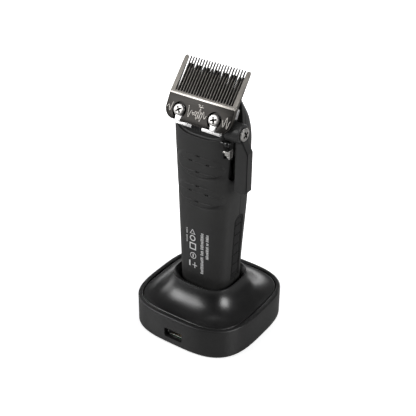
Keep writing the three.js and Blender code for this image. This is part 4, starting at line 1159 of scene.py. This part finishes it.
strip(-18 * MM, -3.7 * MM, -2.0 * MM, 1.5 * MM, bracket_back, bracket_face, 0.6 * MM, 0.25 * MM)
strip(3.3 * MM, 17.2 * MM, -2.0 * MM, 1.5 * MM, bracket_back, bracket_face, 0.6 * MM, 0.25 * MM)
strip(-17.6 * MM, 17.0 * MM, 0.7 * MM, 11.1 * MM, bracket_back + 0.05 * MM, bracket_face - 0.05 * MM,
      0.5 * MM, 0.2 * MM)
strip(-22.6 * MM, 22.6 * MM, 9.95 * MM, 11.1 * MM, bracket_back + 0.1 * MM, bracket_face - 0.1 * MM,
      0.3 * MM, 0.1 * MM)
for side in (-1, 1):
    inner, outer = sorted((side * 21.9 * MM, side * 23.4 * MM))
    strip(inner, outer, 9.9 * MM, 16.2 * MM, bracket_back, bracket_face + 0.05 * MM, 0.5 * MM, 0.3 * MM)
    x = side * screw_x + screw_shift
    lug = ([(x - 1.9 * MM, -0.35 * MM), (x + 1.9 * MM, -0.35 * MM), (x + 2.2 * MM, 2.0 * MM)]
           + rounded((x, 4.8 * MM), lug_half, 0, 180, 14) + [(x - 2.2 * MM, 2.0 * MM)])
    bracket_parts.append(prism("lug", lug, bracket_face - 0.4 * MM, -0.9 * MM, 0.3 * MM, None, 30, 3))
bracket = on_blade(merge_pieces("head_bracket_plate", bracket_parts))
chrome = metal("polished_chrome", (0.42, 0.42, 0.42), (0.72, 0.71, 0.70),
               diagonal, counter, 900.0, 0.000006, 0.26, 0.40)
finish_piece(bracket, "clipper", ["head_bracket"], chrome)

# ---- Screws -----------------------------------------------------------------------
# Pan-head cross screws: two hold the blade to the bracket's lugs and a larger one holds
# the lever on its shaft. Polished, with painted shade down in the cross.


def lathe(name, profile, axes=None, steps=40, smooth_angle=35):
    """A solid of revolution: profile is a list of (radius, height) and both ends close on the axis."""
    profile = np.array(profile, float)
    angle = np.arange(steps) * TURN / steps
    ring = np.stack([profile[:, :1] * np.cos(angle), profile[:, :1] * np.sin(angle),
                     np.broadcast_to(profile[:, 1:], (len(profile), steps))], -1)
    points = np.vstack([ring.reshape(-1, 3), [[0, 0, profile[0, 1]], [0, 0, profile[-1, 1]]]])
    if axes is not None:
        points = points @ np.array(axes.to_3x3()).T + np.array(axes.translation)
    count = len(profile)
    return mesh_piece(name, points, [grid_faces(count, steps), *pole_fans(count, steps)], smooth_angle)


def cross_screw(name, radius, thick, shank, length, axes, turn):
    """A pan head whose dome is a shallow arc, with a cross cut into it, on a plain shank."""
    dome = [(radius * math.sin(a), thick - radius * 0.16 * (1 - math.cos(a)))
            for a in np.linspace(math.pi / 2, 0.1, 8)]
    profile = [(shank * 0.7, -length), (shank, -length + 0.3 * MM), (shank, -0.01 * MM),
               (radius - 0.15 * MM, 0), (radius, 0.15 * MM), (radius, dome[0][1] - 0.12 * MM)] + dome[1:]
    screw = lathe(name, profile, None, 48)
    arms = []
    reach, half = radius * 0.62, radius * 0.17
    for spin in (turn, turn + math.pi / 2):
        arm = box_piece("arm", (-reach, -half, thick - 1.2 * MM), (reach, half, thick + MM))
        arm.data.transform(Matrix.Rotation(spin, 4, "Z"))
        arms.append(arm)
    carve(screw, arms)
    soften(screw, 35)
    screw.data.transform(axes)
    screw.data.update()
    return screw


def shade_the_cross(piece, centre, normal, radius, thick):
    """Gives the faces down inside the cross the dark second material: painted shade."""
    centres, normals = face_data(piece.data)
    offset = centres - np.array(centre)
    height = offset @ np.array(normal)
    flat = np.linalg.norm(offset - height[:, None] * np.array(normal), axis=1)
    tilt = normals @ np.array(normal)
    inside = (flat < radius * 0.66) & (height > 0.1 * MM) & ((tilt < 0.5) | (height < thick - 0.55 * MM))
    piece.data.polygons.foreach_set("material_index", inside.astype(np.int32))


screw_chrome = metal("screw_chrome", (0.50, 0.49, 0.47), (0.72, 0.70, 0.68),
                     (1, 0, 0), up_blade, 1200.0, 0.000003, 0.30, 0.42)
# painted shade for the hollows down in the screw crosses
painted_cross_shade = plastic("painted_cross_shade", (0.008, 0.007, 0.006), (0.02, 0.018, 0.015),
                      2400.0, 0.00002, 0.6, 0.8, 0.2)
head_radius, head_thick = 3.5 * MM, 1.75 * MM
for x, name, turn in zip(screw_places, ("left", "right"), (0.62, 0.35)):
    seat = Matrix.Translation((x, screw_v, -0.6 * MM))
    place = blade_axes @ seat
    screw = cross_screw("blade_screw_" + name + "_head", head_radius, head_thick, 1.5 * MM, 4.1 * MM,
                        place, turn)
    screw.data.materials.append(screw_chrome)
    screw.data.materials.append(painted_cross_shade)
    shade_the_cross(screw, place.translation, place.col[2][:3], head_radius, head_thick)
    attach(screw, "clipper")
    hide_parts("blade_screw_" + name)

hub_outer = 27.8 * MM
lever_head_radius, lever_head_thick = 4.1 * MM, 1.6 * MM
facing_out = Matrix(((0, 0, 1, hub_outer + 0.3 * MM), (1, 0, 0, hub_y), (0, 1, 0, hub_z), (0, 0, 0, 1)))
lever_screw = cross_screw("lever_screw_head", lever_head_radius, lever_head_thick, 1.6 * MM, 4.9 * MM,
                          facing_out, 0.5)
lever_screw.data.materials.append(screw_chrome)
lever_screw.data.materials.append(painted_cross_shade)
shade_the_cross(lever_screw, facing_out.translation, (1, 0, 0), lever_head_radius, lever_head_thick)
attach(lever_screw, "lever")
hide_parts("lever_screw")

# ---- Taper lever --------------------------------------------------------------------
# One moulding of matt black plastic: a round hub that turns in the housing's notch and a
# flat arm that hangs down the flank, with a fine groove down its front outer edge and a
# sloping shoulder above. The hub is clamped on the steel shaft by the lever screw.

lever_inner, lever_outer, shoulder_outer = 24.2 * MM, 32.3 * MM, 27.5 * MM
lever_front, lever_back, lever_foot = -11.0 * MM, -4.8 * MM, 110.0 * MM
shoulder_low, shoulder_high = 136.8 * MM, 145.5 * MM
foot_corner = 1.3 * MM
arm_rows = [(lever_foot + foot_corner * (1 - math.cos(a)), lever_outer - foot_corner * (1 - math.sin(a)))
            for a in np.linspace(0, math.pi / 2, 6)]
arm_rows += [(z, lever_outer) for z in np.linspace(lever_foot + 4 * MM, shoulder_low, 6)]
arm_rows += [(z, lever_outer
              + (shoulder_outer - lever_outer) * (z - shoulder_low) / (shoulder_high - shoulder_low))
             for z in np.linspace(shoulder_low, shoulder_high, 5)[1:]]
arm_z, arm_right = np.array(arm_rows).T
arm_left = np.full_like(arm_z, lever_inner)
arm_corners = [(arm_left, lever_front), (arm_right - 0.15 * MM, lever_front),
               (arm_right - 1.0 * MM, lever_front + 0.35 * MM),
               (arm_right - 1.0 * MM, lever_front + 0.7 * MM),
               (arm_right, lever_front + 0.9 * MM), (arm_right, lever_back), (arm_left, lever_back)]
arm_points = np.stack([np.stack([x, np.full_like(arm_z, y), arm_z], -1) for x, y in arm_corners], 1)
rows, sides = arm_points.shape[:2]
arm = mesh_piece("arm", arm_points, [grid_faces(rows, sides), *flat_ends(rows, sides)], 25)
hub_edge = 0.7 * MM
hub_profile = ([(2.3 * MM, 17.8 * MM), (hub_radius - 0.5 * MM, 17.8 * MM), (hub_radius, 18.3 * MM),
                (hub_radius, 22 * MM)]
               + [(hub_radius - hub_edge * (1 - math.cos(a)), hub_outer - hub_edge * (1 - math.sin(a)))
                  for a in np.linspace(0, math.pi / 2, 6)]
               + [(4.6 * MM, hub_outer), (4.4 * MM, hub_outer - 0.01 * MM)])
hub_axes = Matrix(((0, 0, 1, 0), (1, 0, 0, hub_y), (0, 1, 0, hub_z), (0, 0, 0, 1)))
hub = lathe("taper_lever_arm", hub_profile, hub_axes, 72)
carve(hub, [arm], "UNION")
carve(hub, [lathe("bore", [(2.3 * MM, 10 * MM), (2.3 * MM, 40 * MM)], hub_axes, 32)])
soft_edges = hub.modifiers.new("edges", "BEVEL")
soft_edges.width = 0.12 * MM
soft_edges.segments = 2
soft_edges.limit_method = "ANGLE"
soft_edges.angle_limit = math.radians(24)
soft_edges.harden_normals = False
soften(hub, 28)
lever_black = plastic("lever_black", (0.020, 0.020, 0.020), (0.028, 0.028, 0.028),
                      2000.0, 0.00002, 0.40, 0.52)
finish_piece(hub, "lever", ["taper_lever"], lever_black)

# ---- Lever stop and click spring ------------------------------------------------------
# A glossy black rubber ball that the lever's hub rests against, and below it a small
# chromed spring clip that holds the lever where it is set. Both are pushed into the
# wall of the notch on short stems.

stop_place = Vector((19.7 * MM, -13 * MM, 141.3 * MM))
stop_radius = 2.1 * MM
ball_profile = [(1.0 * MM, -4.4 * MM), (1.0 * MM, -1.9 * MM)] + [
    (stop_radius * math.cos(a), stop_radius * math.sin(a)) for a in np.linspace(-1.05, 1.5, 14)]
stop_axes = Matrix(((0, 0, 1, stop_place.x), (1, 0, 0, stop_place.y), (0, 1, 0, stop_place.z), (0, 0, 0, 1)))
stop = lathe("lever_stop_ball", ball_profile, stop_axes, 40)
gloss_black = plastic("gloss_black", (0.006, 0.006, 0.006), (0.010, 0.010, 0.010),
                      1200.0, 0.000008, 0.07, 0.14)
finish_piece(stop, "clipper", ["lever_stop"], gloss_black)

click_y, click_z = -11.6 * MM, 134.8 * MM
click_parts = [
    prism("clip_block", rounded_box_outline(2.6 * MM, 2.8 * MM, 0.4 * MM, (19.8 * MM, click_z + 0.3 * MM)),
          2.0 * MM - click_y - 2.2 * MM, -click_y + 2.2 * MM, 0.25 * MM, facing_front),
    prism("clip_leaf", rounded_box_outline(0.8 * MM, 5.6 * MM, 0.35 * MM, (21.6 * MM, click_z)),
          -click_y - 1.2 * MM, -click_y + 2.3 * MM, 0.2 * MM, facing_front),
    prism("clip_foot", rounded_box_outline(2.4 * MM, 0.8 * MM, 0.3 * MM, (20.6 * MM, click_z - 2.3 * MM)),
          -click_y - 1.0 * MM, -click_y + 1.4 * MM, 0.2 * MM, facing_front),
    lathe("clip_stem", [(0.9 * MM, notch_wall - 1 * MM), (0.9 * MM, 19 * MM)],
          Matrix(((0, 0, 1, 0), (1, 0, 0, click_y), (0, 1, 0, click_z), (0, 0, 0, 1))), 20)]
clip = merge_pieces("click_spring_clip", click_parts)
finish_piece(clip, "clipper", ["click_spring"], screw_chrome)

# ---- Printing on the handle -------------------------------------------------------
# Four upright columns of small white marks low on the front face: rows of plain dashes
# and a column of simple shapes. Pad-printed ink, a few hundredths of a millimetre thick.

ink_lift = 0.03 * MM


def printed(name, outline):
    """A thin layer of ink with the given outline in x and z, bent to the front face of the handle."""
    mark = prism(name, outline, 0, 0.04 * MM, 0, facing_front)
    places = get_places(mark.data)
    places[:, 1] += on_front(places[:, 0], places[:, 2], ink_lift - 0.02 * MM)[:, 1]
    set_places(mark.data, places)
    return mark


def dash(x, z, wide, tall):
    """A printed rectangle about x and z."""
    return printed("dash", [(x - wide / 2, z - tall / 2), (x + wide / 2, z - tall / 2),
                            (x + wide / 2, z + tall / 2), (x - wide / 2, z + tall / 2)])


def outlined(x, z, radius, sides, turn, line):
    """A regular shape drawn as a closed line: one quad per side."""
    strokes = []
    for i in range(sides):
        a, b = turn + i * TURN / sides, turn + (i + 1) * TURN / sides
        corners = ((radius - line, a), (radius - line, b), (radius, b), (radius, a))
        strokes.append(printed("stroke", [(x + r * math.cos(t) * MM, z + r * math.sin(t) * MM)
                                          for r, t in corners]))
    return strokes


marks = []
pattern = [0.9, 0.55, 0.75, 1.0, 0.5, 0.85, 0.6, 1.0]
columns = [                       # middle, lower end, upper end, width, dashes left out; in millimetres
    (-9.0, 62.9, 73.6, 0.95, (5,)),
    (2.9, 42.4, 73.4, 2.3, (14, 19)),
    (6.8, 54.9, 73.4, 2.0, (6, 9))]
for x, z_low, z_high, wide, breaks in columns:
    z, count = z_high, 0
    while z > z_low:
        tall = 0.62 * pattern[count % len(pattern)]
        if count not in breaks:
            lead = wide * (0.5 + 0.5 * pattern[(count * 3 + 1) % len(pattern)])
            marks.append(dash(x * MM + (wide - lead) * 0.4 * MM, (z - tall / 2) * MM, lead * MM, tall * MM))
        z -= tall + 0.42
        count += 1
marks += outlined(-4.4 * MM, 71.8 * MM, 2.5, 3, math.pi / 2, 0.8)
marks += outlined(-4.3 * MM, 67.4 * MM, 2.2, 24, 0, 0.7)
marks += outlined(-4.2 * MM, 61.3 * MM, 3.6, 4, math.pi / 4, 1.1)
marks += outlined(-3.9 * MM, 54.2 * MM, 2.4, 20, 0, 0.45)
marks.append(dash(-3.9 * MM, 54.2 * MM, 0.7 * MM, 2.6 * MM))
marks.append(dash(-2.6 * MM, 47.0 * MM, 3.6 * MM, 0.55 * MM))
marks.append(dash(-2.6 * MM, 47.0 * MM, 0.55 * MM, 4.6 * MM))
marks.append(dash(-6.7 * MM, 47.6 * MM, 1.1 * MM, 4.4 * MM))
ink_white = plastic("ink_white", (0.80, 0.80, 0.80), (0.95, 0.95, 0.94), 3000.0, 0.000006, 0.5, 0.7)
finish_piece(merge_pieces("front_housing_printing", marks), "clipper", [], ink_white)

# ---- End cap and charge pads --------------------------------------------------------
# The plug that closes the handle's lower end, with two round gilt pads that rest on the
# dock's sprung pins.

cap_width, cap_front, cap_back = (float(value) for value in handle_at(8.6 * MM))
cap_depth, cap_middle = cap_back - cap_front, (cap_front + cap_back) / 2


def cap_ring(inset, height):
    """A ring of the end cap, inset from the handle's outline. Both are in millimetres."""
    inset = inset * MM
    return cap_width - 2 * inset, cap_depth - 2 * inset, handle_squareness, cap_middle, height * MM


cap = ring_stack("end_cap_plug", [
    cap_ring(9, 8.0), cap_ring(1.0, 8.0), cap_ring(0.55, 8.1), cap_ring(0.2, 8.4), cap_ring(0.05, 8.9),
    cap_ring(0, 11.1), cap_ring(0.2, 11.2), cap_ring(2.95, 11.2), cap_ring(2.95, 15.1),
    cap_ring(9, 15.2)], 144)
pad_radius, pad_low, pad_high = 3 * MM, 8 * MM, 9.4 * MM
pad_cuts = [prism("pad_cut", circle(pad_radius + 0.3 * MM, (side * pin_x, pin_y)), 7 * MM, 9.7 * MM)
            for side in (-1, 1)]
carve(cap, [merge_pieces("pad_cuts", pad_cuts)])
soften(cap, 35)
finish_piece(cap, "clipper", ["end_cap"], handle_black)
gilt = metal("gilt", (0.62, 0.43, 0.17), (0.78, 0.56, 0.25),
             (1, 0, 0), (0, 1, 0), 1800.0, 0.000003, 0.2, 0.34)
plain_steel = metal("plain_steel", (0.42, 0.42, 0.41), (0.58, 0.58, 0.56),
                    (1, 0, 0), (0, 1, 0), 1600.0, 0.000005, 0.26, 0.42)


def disc_profile(radius, low, high, edge):
    """A turned disc or pin with its rims rounded by edge."""
    turns = np.linspace(0, math.pi / 2, 4)
    return ([(radius - edge * (1 - math.sin(a)), low + edge * (1 - math.cos(a))) for a in turns]
            + [(radius - edge * (1 - math.cos(a)), high - edge * (1 - math.sin(a))) for a in turns])


for s, side in ((-1, "left"), (1, "right")):
    there = Matrix.Translation((s * pin_x, pin_y, 0))
    pad_profile = disc_profile(pad_radius, pad_low, pad_high, 0.2 * MM)
    pad = lathe("charge_pad_" + side + "_disc", pad_profile, there, 36)
    finish_piece(pad, "clipper", ["charge_pad_" + side], gilt)
    pin_profile = disc_profile(0.6 * MM, 5.3 * MM, 7.7 * MM, 0.3 * MM)
    pin = lathe("contact_pin_" + side + "_tip", pin_profile, there, 20)
    finish_piece(pin, side + "_contact", ["contact_pin_" + side], gilt)

# ---- Power button and status lens -----------------------------------------------------
# On the back of the handle: a round push button with a dished face and a moulded ring,
# and below it a small clear lens. Both sit in holes in the rear housing.

button_face = float(handle_at(button_z)[2]) + 0.9 * MM
button_axes = Matrix(((1, 0, 0, 0), (0, 0, 1, 0), (0, -1, 0, button_z), (0, 0, 0, 1)))
button_profile = [
    (button_radius, 15.0 * MM), (button_radius, button_face - 0.5 * MM),
    (button_radius - 0.15 * MM, button_face - 0.15 * MM), (button_radius - 0.5 * MM, button_face),
    (button_radius - 1.3 * MM, button_face), (button_radius - 1.6 * MM, button_face - 0.25 * MM)]
button_profile += [(r * MM, button_face - 0.25 * MM - 0.35 * MM * (1 - (r / 5.4) ** 2))
                   for r in (4.4, 3.2, 2.0, 0.8)]
button = lathe("power_button_cap", button_profile, button_axes, 64)
finish_piece(button, "button", ["power_button"], lever_black)
lens_back = float(handle_at(lens_z)[2])
lens = prism("status_lens_light", rounded_box_outline(lens_width, lens_height, 1.15 * MM, (0, lens_z), 6),
             lens_back - 2.4 * MM, lens_back - 0.1 * MM, 0.3 * MM, facing_back)
lens_clear = plastic("lens_clear", (0.32, 0.42, 0.50), (0.42, 0.52, 0.60), 700.0, 0.000006, 0.08, 0.16)
finish_piece(lens, "clipper", ["status_lens"], lens_clear)

# ---- Charging socket, feet and floor screws ---------------------------------------------
# A folded steel socket shell with a black tongue that carries four gilt contacts, four
# soft rubber feet bonded into the floor, and the four screws that close the dock. The
# socket and the screws keep their built shapes, with their edges rounded.

usb_front = -38.25 * MM


def from_cad(name, width):
    """A copy of a CAD node's mesh with its rims rounded by a bevel of this width."""
    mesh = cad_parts[name].data.copy()
    mesh.materials.clear()
    piece = bpy.data.objects.new(name + "_rounded", mesh)
    bpy.context.scene.collection.objects.link(piece)
    bpy.context.view_layer.objects.active = piece
    weld = piece.modifiers.new("weld", "WELD")
    weld.merge_threshold = 0.00001
    bpy.ops.object.modifier_apply(modifier=weld.name)
    rim = piece.modifiers.new("rim", "BEVEL")
    rim.width = width
    rim.segments = 2
    rim.limit_method = "ANGLE"
    rim.angle_limit = math.radians(40)
    soften(piece, 40)
    return piece


finish_piece(from_cad("usb_socket_shell", 0.08 * MM), "dock", ["usb_socket_shell"], plain_steel)
finish_piece(from_cad("usb_socket_tongue", 0.12 * MM), "dock", ["usb_socket_tongue"],
             gloss_black)
contacts = [prism("contact", rounded_box_outline(1.1 * MM, 0.12 * MM, 0.05 * MM, (x * MM, 8.94 * MM), 2),
                  -usb_front - 11 * MM, -usb_front - 1.4 * MM, 0.02 * MM, facing_front)
            for x in (-3.5, -1.2, 1.2, 3.5)]
finish_piece(merge_pieces("usb_contacts", contacts), "dock", [], gilt)
foot_profile = [
    (3.6 * MM, 0.25 * MM), (3.8 * MM, 0.05 * MM), (4.0 * MM, 0), (4.6 * MM, 0), (4.9 * MM, 0.12 * MM),
    (5.0 * MM, 0.4 * MM), (5.0 * MM, 1.4 * MM), (4.9 * MM, 1.5 * MM)]
for sx, sy, name in quarter:
    foot_place = Matrix.Translation((sx * foot_inset, sy * foot_inset, 0))
    foot = lathe("dock_foot_" + name + "_pad", foot_profile, foot_place, 40)
    finish_piece(foot, "dock", ["dock_foot_" + name], rubber_black)
    finish_piece(from_cad("dock_screw_" + name, 0.15 * MM), "dock", ["dock_screw_" + name],
                 plain_steel)

# ---- Hidden pieces ----------------------------------------------------------------------
# What sits inside the handle and the dock: the cell, the boards, the motor and its mount,
# the shafts and the hidden screws. They keep their plain shapes and get their own finish.

cell_film = plastic("cell_film", (0.02, 0.10, 0.26), (0.035, 0.14, 0.33),
                    260.0, 0.00004, 0.24, 0.40)
board_green = plastic("board_green", (0.012, 0.060, 0.026), (0.022, 0.095, 0.042),
                      900.0, 0.00003, 0.35, 0.55)
nylon_white = plastic("nylon_white", (0.60, 0.59, 0.53), (0.72, 0.71, 0.65),
                      600.0, 0.00003, 0.45, 0.6)
dark_steel = metal("dark_steel", (0.05, 0.05, 0.05), (0.10, 0.10, 0.10),
                   (0, 0, 1), (1, 0, 0), 1500.0, 0.000005, 0.35, 0.5)
hidden_finishes = {
    cell_film: ["battery_cell"],
    board_green: ["control_board", "dock_circuit_board"],
    nylon_white: ["cutter_yoke"],
    dark_steel: ["button_switch"],
    handle_black: ["motor_mount"],
    plain_steel: ["contact_barrel_left", "contact_barrel_right", "motor_can", "motor_screw_left",
                  "motor_screw_right", "motor_shaft", "bracket_screw_left", "bracket_screw_right",
                  "taper_carriage", "lever_shaft"]}
for material, names in hidden_finishes.items():
    for name in names:
        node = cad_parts[name]
        node.data.materials.clear()
        node.data.materials.append(material)
